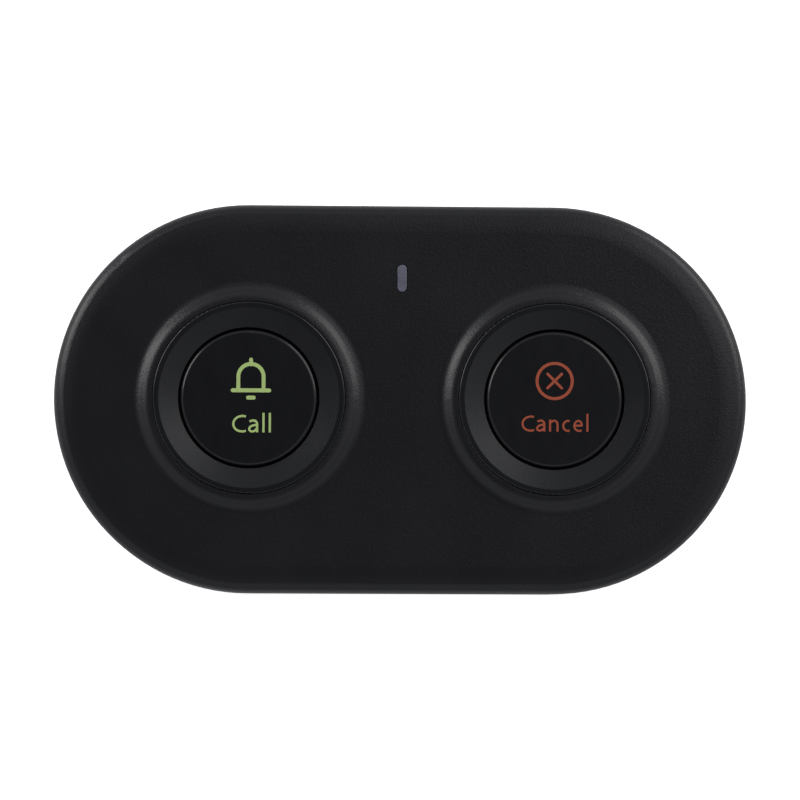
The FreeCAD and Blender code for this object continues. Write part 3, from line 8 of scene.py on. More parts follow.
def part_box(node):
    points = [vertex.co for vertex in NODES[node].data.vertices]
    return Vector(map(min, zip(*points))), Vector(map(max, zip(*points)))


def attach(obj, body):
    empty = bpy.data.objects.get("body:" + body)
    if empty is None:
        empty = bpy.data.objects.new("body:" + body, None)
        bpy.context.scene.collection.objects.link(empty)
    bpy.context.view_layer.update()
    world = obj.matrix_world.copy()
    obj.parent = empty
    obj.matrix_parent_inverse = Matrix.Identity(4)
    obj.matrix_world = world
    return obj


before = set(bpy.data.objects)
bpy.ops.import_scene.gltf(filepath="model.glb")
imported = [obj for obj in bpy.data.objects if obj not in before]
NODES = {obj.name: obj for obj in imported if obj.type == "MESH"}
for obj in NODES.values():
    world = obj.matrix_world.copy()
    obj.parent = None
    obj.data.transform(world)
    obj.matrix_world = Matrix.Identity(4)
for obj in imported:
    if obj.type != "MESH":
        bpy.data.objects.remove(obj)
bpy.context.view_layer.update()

bl_info = {
    "name": "Waiter call transmitter",
    "version": (1, 0, 0),
    "blender": (4, 5, 0),
    "location": "View3D > Sidebar > Transmitter",
    "description": "Dresses a waiter call transmitter: case, buttons, print, lamp and inner parts",
    "category": "Object",
}

MM = 0.001
SIDES = ("call", "cancel")


# ----------------------------------------------------------------------------------------------------
# Sizes and colours a user can change


class TransmitterPlastics(bpy.types.PropertyGroup):
    """Colours and texture of the moulded parts that are seen from outside."""

    case_colour: bpy.props.FloatVectorProperty(
        name="Case", description="Colour of the cover, base and battery door",
        subtype="COLOR", size=3, min=0, max=1, default=(0.0078, 0.0078, 0.0091),
    )
    case_roughness: bpy.props.FloatProperty(
        name="Case roughness", description="Roughness of the case under its grain",
        subtype="FACTOR", min=0, max=1, default=0.31,
    )
    grain_size: bpy.props.FloatProperty(
        name="Grain", description="Size of the sparks in the case's texture",
        unit="LENGTH", min=0, default=0.26 * MM,
    )
    grain_depth: bpy.props.FloatProperty(
        name="Grain depth", description="Depth of the case's texture",
        unit="LENGTH", min=0, default=0.035 * MM,
    )
    collar_colour: bpy.props.FloatVectorProperty(
        name="Collars", description="Colour of the dished rings round the caps",
        subtype="COLOR", size=3, min=0, max=1, default=(0.0085, 0.0087, 0.0095),
    )
    collar_roughness: bpy.props.FloatProperty(
        name="Collar roughness", description="Roughness of the collars' dish and skirt",
        subtype="FACTOR", min=0, max=1, default=0.3,
    )
    rim_roughness: bpy.props.FloatProperty(
        name="Rim roughness", description="Roughness of the collars' flat rim, whose texture has no depth",
        subtype="FACTOR", min=0, max=1, default=0.2,
    )
    cap_colour: bpy.props.FloatVectorProperty(
        name="Caps", description="Colour of the button caps",
        subtype="COLOR", size=3, min=0, max=1, default=(0.0076, 0.0077, 0.0085),
    )
    cap_roughness: bpy.props.FloatProperty(
        name="Cap roughness", description="Roughness of the caps where they are cleanest",
        subtype="FACTOR", min=0, max=1, default=0.16,
    )
    lens_colour: bpy.props.FloatVectorProperty(
        name="Lamp lens", description="Colour of the unlit lamp lens",
        subtype="COLOR", size=3, min=0, max=1, default=(0.1, 0.1, 0.13),
    )


class TransmitterPrint(bpy.types.PropertyGroup):
    """Sizes, places and inks of the print on the caps. Places are measured from a cap's axis."""

    call_ink: bpy.props.FloatVectorProperty(
        name="Call ink", description="Colour of the call button's print",
        subtype="COLOR", size=3, min=0, max=1, default=(0.34, 0.46, 0.155),
    )
    cancel_ink: bpy.props.FloatVectorProperty(
        name="Cancel ink", description="Colour of the cancel button's print",
        subtype="COLOR", size=3, min=0, max=1, default=(0.295, 0.053, 0.02),
    )
    ink_thickness: bpy.props.FloatProperty(
        name="Ink thickness", description="Height of the print above the caps",
        unit="LENGTH", min=0, default=0.015 * MM,
    )
    bell_width: bpy.props.FloatProperty(
        name="Bell width", description="Width of the bell symbol, over its rim",
        unit="LENGTH", min=0, default=4.971 * MM,
    )
    bell_place: bpy.props.FloatVectorProperty(
        name="Bell place", description="Middle of the bell's rim",
        subtype="XYZ", unit="LENGTH", size=2, default=(0.25 * MM, 0.9 * MM),
    )
    cross_width: bpy.props.FloatProperty(
        name="Cross width", description="Width of the ring round the cross",
        unit="LENGTH", min=0, default=4.73 * MM,
    )
    cross_place: bpy.props.FloatVectorProperty(
        name="Cross place", description="Middle of the cross and its ring",
        subtype="XYZ", unit="LENGTH", size=2, default=(0, 2.28 * MM),
    )
    call_capital: bpy.props.FloatProperty(
        name="Call letters", description="Height of the capital letter of the call button's word",
        unit="LENGTH", min=0, default=2.16 * MM,
    )
    call_word_place: bpy.props.FloatVectorProperty(
        name="Call word place", description="Middle of the call button's word, on its base line",
        subtype="XYZ", unit="LENGTH", size=2, default=(0.35 * MM, -4.27 * MM),
    )
    cancel_capital: bpy.props.FloatProperty(
        name="Cancel letters", description="Height of the capital letter of the cancel button's word",
        unit="LENGTH", min=0, default=1.98 * MM,
    )
    cancel_word_place: bpy.props.FloatVectorProperty(
        name="Cancel word place", description="Middle of the cancel button's word, on its base line",
        subtype="XYZ", unit="LENGTH", size=2, default=(0.05 * MM, -3.96 * MM),
    )


class TransmitterInside(bpy.types.PropertyGroup):
    """Colours of the parts inside the case and of the pads and screws under it."""

    foam_colour: bpy.props.FloatVectorProperty(
        name="Pads", description="Colour of the foam mounting pads",
        subtype="COLOR", size=3, min=0, max=1, default=(0.02, 0.02, 0.021),
    )
    screw_colour: bpy.props.FloatVectorProperty(
        name="Screws", description="Colour of the screws",
        subtype="COLOR", size=3, min=0, max=1, default=(0.3, 0.3, 0.31),
    )
    board_colour: bpy.props.FloatVectorProperty(
        name="Board", description="Colour of the circuit board's solder mask",
        subtype="COLOR", size=3, min=0, max=1, default=(0.006, 0.075, 0.03),
    )
    package_colour: bpy.props.FloatVectorProperty(
        name="Packages", description="Colour of the two moulded packages",
        subtype="COLOR", size=3, min=0, max=1, default=(0.014, 0.014, 0.015),
    )
    lead_colour: bpy.props.FloatVectorProperty(
        name="Leads", description="Colour of the tinned leads",
        subtype="COLOR", size=3, min=0, max=1, default=(0.62, 0.62, 0.6),
    )
    ceramic_colour: bpy.props.FloatVectorProperty(
        name="Small parts", description="Colour of the small resistors and capacitors",
        subtype="COLOR", size=3, min=0, max=1, default=(0.2, 0.13, 0.08),
    )
    crystal_colour: bpy.props.FloatVectorProperty(
        name="Crystal", description="Colour of the crystal's can",
        subtype="COLOR", size=3, min=0, max=1, default=(0.6, 0.57, 0.48),
    )
    antenna_colour: bpy.props.FloatVectorProperty(
        name="Antenna", description="Colour of the antenna coil's wire",
        subtype="COLOR", size=3, min=0, max=1, default=(0.78, 0.47, 0.22),
    )
    lamp_colour: bpy.props.FloatVectorProperty(
        name="Lamp", description="Colour of the unlit lamp under the lens",
        subtype="COLOR", size=3, min=0, max=1, default=(0.75, 0.75, 0.68),
    )
    housing_colour: bpy.props.FloatVectorProperty(
        name="Switch housings", description="Colour of the key switches' housings",
        subtype="COLOR", size=3, min=0, max=1, default=(0.012, 0.012, 0.012),
    )
    stem_colour: bpy.props.FloatVectorProperty(
        name="Switch stems", description="Colour of the key switches' stems",
        subtype="COLOR", size=3, min=0, max=1, default=(0.45, 0.42, 0.35),
    )
    spring_colour: bpy.props.FloatVectorProperty(
        name="Switch metal", description="Colour of the key switches' plates and snap domes",
        subtype="COLOR", size=3, min=0, max=1, default=(0.6, 0.6, 0.58),
    )
    cell_colour: bpy.props.FloatVectorProperty(
        name="Coin cell", description="Colour of the coin cell's can",
        subtype="COLOR", size=3, min=0, max=1, default=(0.66, 0.66, 0.65),
    )
    holder_colour: bpy.props.FloatVectorProperty(
        name="Cell holder", description="Colour of the coin cell's holder",
        subtype="COLOR", size=3, min=0, max=1, default=(0.012, 0.012, 0.013),
    )
    contact_colour: bpy.props.FloatVectorProperty(
        name="Contacts", description="Colour of the coin cell's contacts",
        subtype="COLOR", size=3, min=0, max=1, default=(0.72, 0.62, 0.4),
    )


class TransmitterStage(bpy.types.PropertyGroup):
    """The floor, the lights and the camera."""

    floor_colour: bpy.props.FloatVectorProperty(
        name="Floor", description="Colour of the floor",
        subtype="COLOR", size=3, min=0, max=1, default=(0.86, 0.86, 0.86),
    )
    floor_glow: bpy.props.FloatVectorProperty(
        name="Floor glow", description="Light that the floor adds to its colour, for the camera alone",
        subtype="COLOR", size=3, min=0, max=1, default=(0.8, 0.8, 0.8),
    )
    floor_width: bpy.props.FloatProperty(
        name="Floor width", description="Width of the floor",
        unit="LENGTH", min=0, default=4.0,
    )
    view_width: bpy.props.FloatProperty(
        name="View width", description="Width that the camera takes in at the case's shoulder",
        unit="LENGTH", min=0, default=98.98 * MM,
    )
    camera_distance: bpy.props.FloatProperty(
        name="Camera distance", description="Distance from the camera to the case's shoulder",
        unit="LENGTH", min=0, default=0.509,
    )
    camera_lean: bpy.props.FloatVectorProperty(
        name="Camera lean", description="How far the camera stands off the upright, for each metre up",
        size=2, default=(-0.0447, -0.0516),
    )
    camera_aim: bpy.props.FloatVectorProperty(
        name="Camera aim", description="Where on the case's shoulder plane the camera looks",
        subtype="XYZ", unit="LENGTH", size=3, default=(-0.14 * MM, -0.06 * MM, 12.86 * MM),
    )
    camera_roll: bpy.props.FloatProperty(
        name="Camera roll", description="Turn of the camera about its own axis",
        subtype="ANGLE", default=math.radians(-0.217),
    )
    lamp_power: bpy.props.FloatProperty(
        name="Lamps", description="Power of the softboxes, of which each has its own share",
        unit="POWER", min=0, default=2.5,
    )


class TransmitterSettings(bpy.types.PropertyGroup):
    """All the settings of the transmitter."""

    plastics: bpy.props.PointerProperty(type=TransmitterPlastics)
    marks: bpy.props.PointerProperty(type=TransmitterPrint)
    inside: bpy.props.PointerProperty(type=TransmitterInside)
    stage: bpy.props.PointerProperty(type=TransmitterStage)


# ----------------------------------------------------------------------------------------------------
# Places taken from the frame

# How far below a collar's top a corner may lie and still belong to its flat rim.
RIM_FLATNESS = 0.01 * MM


def middle(node):
    """The middle of a solid's box."""
    low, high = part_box(node)
    return (low + high) / 2


def top_of(node):
    """The height of a solid's top."""
    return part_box(node)[1].z


def on_cap(cap, offset):
    """Where a point lies that stands off a cap's axis by an offset, as its x and its y."""
    axis = middle(cap)
    return axis.x + offset[0], axis.y + offset[1]


def rim_start():
    """The distance from a button's axis at which the flat rim of its collar starts."""
    collar = NODES["call_collar"]
    axis = middle("call_cap")
    corners = [collar.matrix_world @ vertex.co - axis for vertex in collar.data.vertices]
    highest = max(corner.z for corner in corners)
    return min(corner.xy.length for corner in corners if corner.z > highest - RIM_FLATNESS)


# ----------------------------------------------------------------------------------------------------
# Shader graphs

# Where the Mix node keeps the factor, the two colours and the result of a mix of colours.
MIX_FACTOR = 0
MIX_FIRST = 6
MIX_SECOND = 7
MIX_RESULT = 2


def opaque(colour):
    """A colour with its fourth value, or a socket as it is."""
    if isinstance(colour, Value):
        return colour
    return (*colour, 1.0)


def shade(colour, factor):
    """A colour made lighter or darker."""
    return tuple(min(1.0, part * factor) for part in colour)


class Value:
    """A shader socket that can stand in a Python expression."""

    def __init__(self, graph, socket):
        self.graph = graph
        self.socket = socket

    def _math(self, operation, first, second):
        return self.graph.node("ShaderNodeMath", {"operation": operation}, {0: first, 1: second})

    def __add__(self, other):
        return self._math("ADD", self, other)

    def __radd__(self, other):
        return self._math("ADD", other, self)

    def __sub__(self, other):
        return self._math("SUBTRACT", self, other)

    def __rsub__(self, other):
        return self._math("SUBTRACT", other, self)

    def __mul__(self, other):
        return self._math("MULTIPLY", self, other)

    def __rmul__(self, other):
        return self._math("MULTIPLY", other, self)


class Graph:
    """A node tree under construction."""

    def __init__(self, tree):
        self.tree = tree
        self.tree.nodes.clear()

    def node(self, kind, settings=None, sockets=None, output=0):
        """Adds a node, makes its settings, fills its sockets, and gives one of its outputs."""
        made = self.tree.nodes.new(kind)
        for name, setting in (settings or {}).items():
            if name == "stops":
                self.set_stops(made.color_ramp, setting)
            else:
                setattr(made, name, setting)
        for name, value in (sockets or {}).items():
            if isinstance(value, Value):
                self.tree.links.new(value.socket, made.inputs[name])
            else:
                made.inputs[name].default_value = value
        return Value(self, made.outputs[output]) if made.outputs else None

    @staticmethod
    def set_stops(ramp, stops):
        """Gives a ramp its stops, each a place and a colour."""
        while len(ramp.elements) < len(stops):
            ramp.elements.new(1.0)
        for element, (place, colour) in zip(ramp.elements, stops):
            element.position = place
            element.color = opaque(colour)

    def ramp(self, value, stops):
        """Maps a value through coloured stops."""
        return self.node("ShaderNodeValToRGB", {"stops": stops}, {"Fac": value})

    def mixed(self, first, second, factor):
        """A colour between two colours."""
        sockets = {MIX_FACTOR: factor, MIX_FIRST: opaque(first), MIX_SECOND: opaque(second)}
        return self.node("ShaderNodeMix", {"data_type": "RGBA"}, sockets, output=MIX_RESULT)

    def vector(self, operation, first, second=None, output=0):
        """Vector maths on one or two vectors."""
        sockets = {0: first} if second is None else {0: first, 1: second}
        return self.node("ShaderNodeVectorMath", {"operation": operation}, sockets, output=output)


class Finish(Graph):
    """A material under construction."""

    def __init__(self, name):
        self.material = bpy.data.materials.new(name)
        self.material.use_nodes = True
        super().__init__(self.material.node_tree)

    def place(self):
        """Where a point is on the object, in metres."""
        return self.node("ShaderNodeTexCoord", output="Object")

    def stretched(self, factors):
        """The place with each axis scaled. A factor under 1 draws a pattern out along its axis."""
        return self.vector("MULTIPLY", self.place(), factors)

    def button_radius(self):
        """Distance of a point from the nearer button axis, in metres."""
        folded = self.vector("ABSOLUTE", self.place())
        away = self.vector("SUBTRACT", folded, (abs(middle("call_cap").x), 0.0, 0.0))
        level = self.vector("MULTIPLY", away, (1.0, 1.0, 0.0))
        return self.vector("LENGTH", level, output="Value")

    def noise(self, size, detail, place=None, roughness=0.5):
        """Soft random blotches of about that size, from 0 to 1."""
        where = place or self.place()
        sockets = {"Vector": where, "Scale": 1 / size, "Detail": detail, "Roughness": roughness}
        return self.node("ShaderNodeTexNoise", {}, sockets)

    def cells(self, size, distance="EUCLIDEAN"):
        """Distance from the middle of the nearest of many random cells, as a share of their size."""
        sockets = {"Vector": self.place(), "Scale": 1 / size}
        return self.node("ShaderNodeTexVoronoi", {"distance": distance}, sockets)

    def step(self, value, start, end):
        """Rises smoothly from 0 at start to 1 at end."""
        sockets = {"Value": value, "From Min": start, "From Max": end}
        return self.node("ShaderNodeMapRange", {"interpolation_type": "SMOOTHSTEP"}, sockets)

    def mottled(self, colour, pattern, dark, light):
        """A colour that a pattern takes from its dark share to its light share."""
        return self.mixed(shade(colour, dark), shade(colour, light), pattern)

    def bump(self, height, depth):
        """A surface normal that follows a height from 0 to 1, which stands for that depth."""
        return self.node("ShaderNodeBump", {}, {"Height": height, "Distance": depth, "Strength": 1.0})

    def surface(self, **sockets):
        """Ends the material in one surface shader, and gives the material."""
        named = {name.replace("_", " "): value for name, value in sockets.items()}
        for name in ("Base Color", "Emission Color"):
            if name in named:
                named[name] = opaque(named[name])
        shader = self.node("ShaderNodeBsdfPrincipled", {}, named)
        self.node("ShaderNodeOutputMaterial", {}, {"Surface": shader})
        return self.material


def blended(first, second, share):
    """Two patterns in one, of which the second has that share."""
    return first * (1 - share) + second * share


# ----------------------------------------------------------------------------------------------------
# Finishes

# How strongly the dark plastics mirror their surroundings, where 0.5 is the shader's own strength.
PLASTIC_SPECULAR = 0.3


def moulded_finish(name, colour, roughness, grain, depth, smooth_rim=None):
    """Spark-eroded plastic: a fine even grain, with faint larger clouds in its colour and sheen.

    A smooth rim has a roughness of its own, and no depth of grain. It is given as that roughness and the
    two distances from a button's axis between which the grain fades out.
    """
    finish = Finish(name)
    fine = finish.noise(grain, detail=3.0, roughness=0.65)
    coarse = finish.noise(4 * grain, detail=2.0)
    clouds = finish.noise(40 * grain, detail=3.0)
    height = blended(fine, coarse, share=0.15)
    base = roughness
    if smooth_rim:
        rim_roughness, fade_start, fade_end = smooth_rim
        grained = 1.0 - finish.step(finish.button_radius(), fade_start, fade_end)
        height = height * grained
        base = grained * (roughness - rim_roughness) + rim_roughness
    sheen = (clouds - 0.5) * 0.08 + (fine - 0.5) * 0.1
    return finish.surface(
        Base_Color=finish.mottled(colour, clouds, dark=0.85, light=1.2),
        Roughness=sheen + base,
        Specular_IOR_Level=PLASTIC_SPECULAR,
        Normal=finish.bump(height, depth),
    )


def gloss_finish(name, colour, roughness):
    """Polished plastic with a faint waviness and traces of handling, which add to its roughness."""
    finish = Finish(name)
    waves = finish.noise(2.4 * MM, detail=1.0)
    smears = finish.noise(1.3 * MM, detail=4.0, place=finish.stretched((1.0, 0.35, 1.0)))
    return finish.surface(
        Base_Color=finish.mottled(colour, smears, dark=0.9, light=1.15),
        Roughness=smears * 0.08 + roughness,
        Specular_IOR_Level=PLASTIC_SPECULAR,
        Normal=finish.bump(waves, depth=0.002 * MM),
    )


def ink_finish(name, colour):
    """Screen-printed ink, slightly uneven where the screen's threads laid it down."""
    finish = Finish(name)
    threads = finish.noise(0.12 * MM, detail=2.0)
    body = finish.noise(0.8 * MM, detail=2.0)
    return finish.surface(
        Base_Color=finish.mottled(colour, blended(threads, body, share=0.4), dark=0.78, light=1.2),
        Roughness=threads * 0.15 + 0.4,
        Normal=finish.bump(threads, depth=0.003 * MM),
    )


def lens_finish(name, colour):
    """Milky plastic, slightly uneven in its colour and gloss."""
    finish = Finish(name)
    milk = finish.noise(0.9 * MM, detail=2.0)
    return finish.surface(
        Base_Color=finish.mottled(colour, milk, dark=0.75, light=1.25),
        Roughness=milk * 0.1 + 0.22,
        Normal=finish.bump(milk, depth=0.004 * MM),
    )


def foam_finish(name, colour):
    """Closed-cell foam with tiny open pores at its skin."""
    finish = Finish(name)
    pores = finish.cells(0.35 * MM)
    clouds = finish.noise(3 * MM, detail=2.0)
    return finish.surface(
        Base_Color=finish.mottled(colour, blended(pores, clouds, share=0.3), dark=0.6, light=1.3),
        Roughness=pores * 0.1 + 0.85,
        Normal=finish.bump(pores, depth=0.05 * MM),
    )


def metal_finish(name, colour, roughness, draw=(1.0, 1.0, 1.0)):
    """Plated or drawn metal with fine marks. A draw under 1 lengthens the marks along its axis."""
    finish = Finish(name)
    marks = finish.noise(0.15 * MM, detail=3.0, place=finish.stretched(draw))
    clouds = finish.noise(4 * MM, detail=2.0)
    return finish.surface(
        Base_Color=finish.mottled(colour, blended(marks, clouds, share=0.5), dark=0.86, light=1.08),
        Metallic=1.0,
        Roughness=marks * 0.15 + clouds * 0.06 + roughness,
        Normal=finish.bump(marks, depth=0.001 * MM),
    )


def solder_mask_finish(name, colour):
    """Glossy solder mask over copper: the copper shows as lighter, slightly raised blocks."""
    finish = Finish(name)
    from_middle = finish.cells(2.6 * MM, distance="CHEBYCHEV")
    copper = finish.ramp(from_middle, [(0.3, (1, 1, 1)), (0.34, (0, 0, 0))])
    weave = finish.noise(0.4 * MM, detail=2.0)
    return finish.surface(
        Base_Color=finish.mottled(colour, copper, dark=0.85, light=1.35),
        Roughness=weave * 0.1 + 0.28,
        Normal=finish.bump(copper, depth=0.02 * MM),
    )


def ceramic_finish(name, colour):
    """Sintered ceramic with a very fine grain."""
    finish = Finish(name)
    grains = finish.noise(0.08 * MM, detail=2.0)
    return finish.surface(
        Base_Color=finish.mottled(colour, grains, dark=0.7, light=1.3),
        Roughness=grains * 0.2 + 0.5,
        Normal=finish.bump(grains, depth=0.004 * MM),
    )


def paint(finish, *nodes):
    """Gives solids their finish."""
    for name in nodes:
        for place in NODES[name].material_slots:
            place.material = finish


# ----------------------------------------------------------------------------------------------------
# Flat shapes for print

# Corners of an outline closer than this are one, in metres.
WELD = 1e-7
# The kind of triangulation that fills the whole hull and names the outlines that each triangle lies in.
WHOLE_HULL = 0


def curve_through(points, steps=8):
    """A smooth line through points, with that many steps between one point and the next."""
    if len(points) < 3:
        return [Vector(point) for point in points]
    ends = [2 * Vector(points[0]) - Vector(points[1]), 2 * Vector(points[-1]) - Vector(points[-2])]
    line = [ends[0], *map(Vector, points), ends[1]]
    smooth = []
    for before, start, end, after in zip(line, line[1:], line[2:], line[3:]):
        for step in range(steps):
            t = step / steps
            smooth.append(0.5 * (
                2 * start
                + (end - before) * t
                + (2 * before - 5 * start + 4 * end - after) * t ** 2
                + (3 * start - before - 3 * end + after) * t ** 3
            ))
    return [*smooth, Vector(points[-1])]


def arc(centre, radius, start, end, steps=24):
    """Points along an arc. Angles are in degrees."""
    angles = [math.radians(start + (end - start) * i / steps) for i in range(steps + 1)]
    return [Vector(centre) + radius * Vector((math.cos(a), math.sin(a))) for a in angles]


def stroke(line, width, rounded=True):
    """The outline of a pen stroke along a line, with round or flat ends."""
    half = width / 2
    last = len(line) - 1
    left = []
    right = []
    for i, point in enumerate(line):
        along = (line[min(i + 1, last)] - line[max(i - 1, 0)]).normalized()
        across = Vector((-along.y, along.x)) * half
        left.append(point + across)
        right.append(point - across)
    if not rounded:
        return [*left, *reversed(right)]
    ends = []
    for tip, before in ((line[-1], line[-2]), (line[0], line[1])):
        heading = math.degrees(math.atan2(*(tip - before).yx))
        ends.append(arc(tip, half, heading + 90, heading - 90, steps=10)[1:-1])
    return [*left, *ends[0], *reversed(right), *ends[1]]


def ring(centre, radius, width):
    """A ring, as two half rings."""
    halves = []
    for start in (0, 180):
        outer = arc(centre, radius + width / 2, start, start + 180)
        inner = arc(centre, radius - width / 2, start + 180, start)
        halves.append([*outer, *inner])
    return halves


def flat_solid(name, outlines, low, high):
    """A thin solid from low to high that covers all the outlines, joined where they overlap."""
    points = []
    faces = []
    for outline in outlines:
        around = zip(outline, [*outline[1:], outline[0]])
        if sum(here.cross(there) for here, there in around) < 0:
            outline = outline[::-1]
        faces.append(list(range(len(points), len(points) + len(outline))))
        points.extend(outline)
    places, _, triangles, _, _, inside = delaunay_2d_cdt(points, [], faces, WHOLE_HULL, WELD)
    mesh = bmesh.new()
    corners = [mesh.verts.new((place.x, place.y, high)) for place in places]
    covered = [
        mesh.faces.new([corners[i] for i in triangle])
        for triangle, owners in zip(triangles, inside) if owners
    ]
    bmesh.ops.delete(mesh, geom=[vertex for vertex in mesh.verts if not vertex.link_faces], context="VERTS")
    extruded = bmesh.ops.extrude_face_region(mesh, geom=covered, use_keep_orig=True)
    for moved in extruded["geom"]:
        if isinstance(moved, bmesh.types.BMVert):
            moved.co.z = low
    bmesh.ops.recalc_face_normals(mesh, faces=mesh.faces)
    return add_piece(name, mesh)


def add_piece(name, mesh):
    """Turns built geometry into an object of the scene."""
    data = bpy.data.meshes.new(name)
    mesh.to_mesh(data)
    mesh.free()
    piece = bpy.data.objects.new(name, data)
    bpy.context.scene.collection.objects.link(piece)
    return piece


def dress(piece, body, finish):
    """Finishes a piece, and makes it move with its body."""
    piece.data.materials.clear()
    piece.data.materials.append(finish)
    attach(piece, body)


# ----------------------------------------------------------------------------------------------------
# Words and symbols

# The height of a capital, the width of the pen and the gap between letters, in the units of LETTERS.
CAPITAL = 17.5
PEN = 2.2
LETTER_GAP = 3.9

# For each letter, its width and the pen's paths.
LETTERS = {
    "C": (11.95, [
        [(13.7, 15.7), (11.6, 16.2), (9.4, 16.2), (5.5, 15.1), (2.5, 12.4), (1.2, 8.6),
         (2.2, 4.8), (5.1, 2.0), (9.2, 0.9), (11.7, 1.0), (13.8, 1.6)],
    ]),
    "a": (10.3, [
        [(1.5, 10.9), (4.9, 11.9), (7.6, 11.2), (9.0, 8.9), (9.1, 6.2), (9.1, 0)],
        [(9.1, 7.5), (5.8, 7.1), (2.7, 5.8), (1.2, 3.5), (2.0, 1.6), (4.2, 0.9), (6.9, 1.8), (9.1, 4.3)],
    ]),
    "n": (10.5, [
        [(1.2, 0), (1.2, 13.0)],
        [(1.2, 9.0), (3.3, 11.2), (5.9, 11.8), (8.3, 10.6), (9.3, 8.0), (9.3, 0)],
    ]),
    "c": (8.25, [
        [(8.1, 11.3), (6.3, 11.8), (3.8, 11.0), (1.8, 8.8), (1.2, 6.3),
         (1.8, 3.6), (3.8, 1.5), (6.3, 0.8), (8.2, 1.3)],
    ]),
    "e": (10.35, [
        [(1.3, 6.6), (9.1, 6.6)],
        [(9.2, 6.0), (9.0, 8.9), (7.6, 11.0), (5.5, 11.8), (3.3, 10.9), (1.7, 8.7), (1.2, 6.1),
         (1.9, 3.4), (3.8, 1.5), (6.5, 0.8), (9.0, 1.5)],
    ]),
    "l": (2.4, [
        [(1.2, 0), (1.2, 19.5)],
    ]),
}


def word_outlines(word, middle_x, baseline, capital):
    """The outlines of a word's pen strokes, centred on middle_x, with capitals of that height."""
    unit = capital / CAPITAL
    width = sum(LETTERS[letter][0] for letter in word) + LETTER_GAP * (len(word) - 1)
    left = middle_x - width * unit / 2
    outlines = []
    for letter in word:
        advance, lines = LETTERS[letter]
        for line in lines:
            path = [Vector((left, baseline)) + unit * point for point in curve_through(line)]
            outlines.append(stroke(path, PEN * unit, rounded=False))
        left += (advance + LETTER_GAP) * unit
    return outlines


def bell_outlines(middle_x, rim_y, width):
    """The bell symbol: a dome on a rim, with a knob above and a clapper below."""
    rim_reach = 18.2
    rim_pen = 4.0
    dome_radius = 12.6
    dome_centre = 13.8
    dome_pen = 3.8
    knob_foot = 26.0
    knob_top = 30.8
    clapper_reach = 2.8
    clapper_y = -7.3
    unit = width / (2 * rim_reach + rim_pen)

    def at(x, y):
        """A point of the symbol, measured in its own units from the middle of the rim."""
        return Vector((middle_x + x * unit, rim_y + y * unit))

    round_top = arc(at(0, dome_centre), dome_radius * unit, 180, 0, steps=32)
    dome = [at(-dome_radius, 0), *round_top, at(dome_radius, 0)]
    return [
        stroke(dome, dome_pen * unit, rounded=False),
        stroke([at(-rim_reach, 0), at(rim_reach, 0)], rim_pen * unit),
        stroke([at(0, knob_foot), at(0, knob_top)], dome_pen * unit),
        stroke([at(-clapper_reach, clapper_y), at(clapper_reach, clapper_y)], rim_pen * unit),
    ]


def cross_outlines(middle_x, middle_y, width):
    """The cross in its ring."""
    ring_radius = 17.7
    ring_pen = 3.0
    arm_reach = 7.1
    arm_pen = 2.6
    unit = width / (2 * ring_radius + ring_pen)
    centre = Vector((middle_x, middle_y))
    outlines = ring(centre, ring_radius * unit, ring_pen * unit)
    for slope in (1, -1):
        reach = arm_reach * unit
        start = centre + Vector((-reach, -reach * slope))
        end = centre + Vector((reach, reach * slope))
        outlines.append(stroke([start, end], arm_pen * unit))
    return outlines


# ----------------------------------------------------------------------------------------------------
# Operators, one for each piece or group of like pieces

# How far to either side of the rim's start the collars' grain fades.
RIM_FADE = 0.1 * MM


class TRANSMITTER_OT_case(bpy.types.Operator):
    """Finish the cover, the base and the battery door"""

    bl_idname = "transmitter.case"
    bl_label = "Case"

    def execute(self, context):
        plastics = context.scene.transmitter.plastics
        finish = moulded_finish(
            "case_plastic", plastics.case_colour,
            roughness=plastics.case_roughness, grain=plastics.grain_size, depth=plastics.grain_depth,
        )
        paint(finish, "top_cover", "base_shell", "battery_door")
        return {"FINISHED"}


class TRANSMITTER_OT_collars(bpy.types.Operator):
    """Finish the dished rings round the caps"""

    bl_idname = "transmitter.collars"
    bl_label = "Collars"

    def execute(self, context):
        plastics = context.scene.transmitter.plastics
        start = rim_start()
        finish = moulded_finish(
            "collar_plastic", plastics.collar_colour,
            roughness=plastics.collar_roughness,
            grain=0.7 * plastics.grain_size,
            depth=0.5 * plastics.grain_depth,
            smooth_rim=(plastics.rim_roughness, start - RIM_FADE, start + RIM_FADE),
        )
        paint(finish, "call_collar", "cancel_collar")
        return {"FINISHED"}


class TRANSMITTER_OT_caps(bpy.types.Operator):
    """Finish the button caps"""

    bl_idname = "transmitter.caps"
    bl_label = "Caps"

    def execute(self, context):
        plastics = context.scene.transmitter.plastics
        finish = gloss_finish("cap_plastic", plastics.cap_colour, roughness=plastics.cap_roughness)
        paint(finish, "call_cap", "cancel_cap")
        return {"FINISHED"}


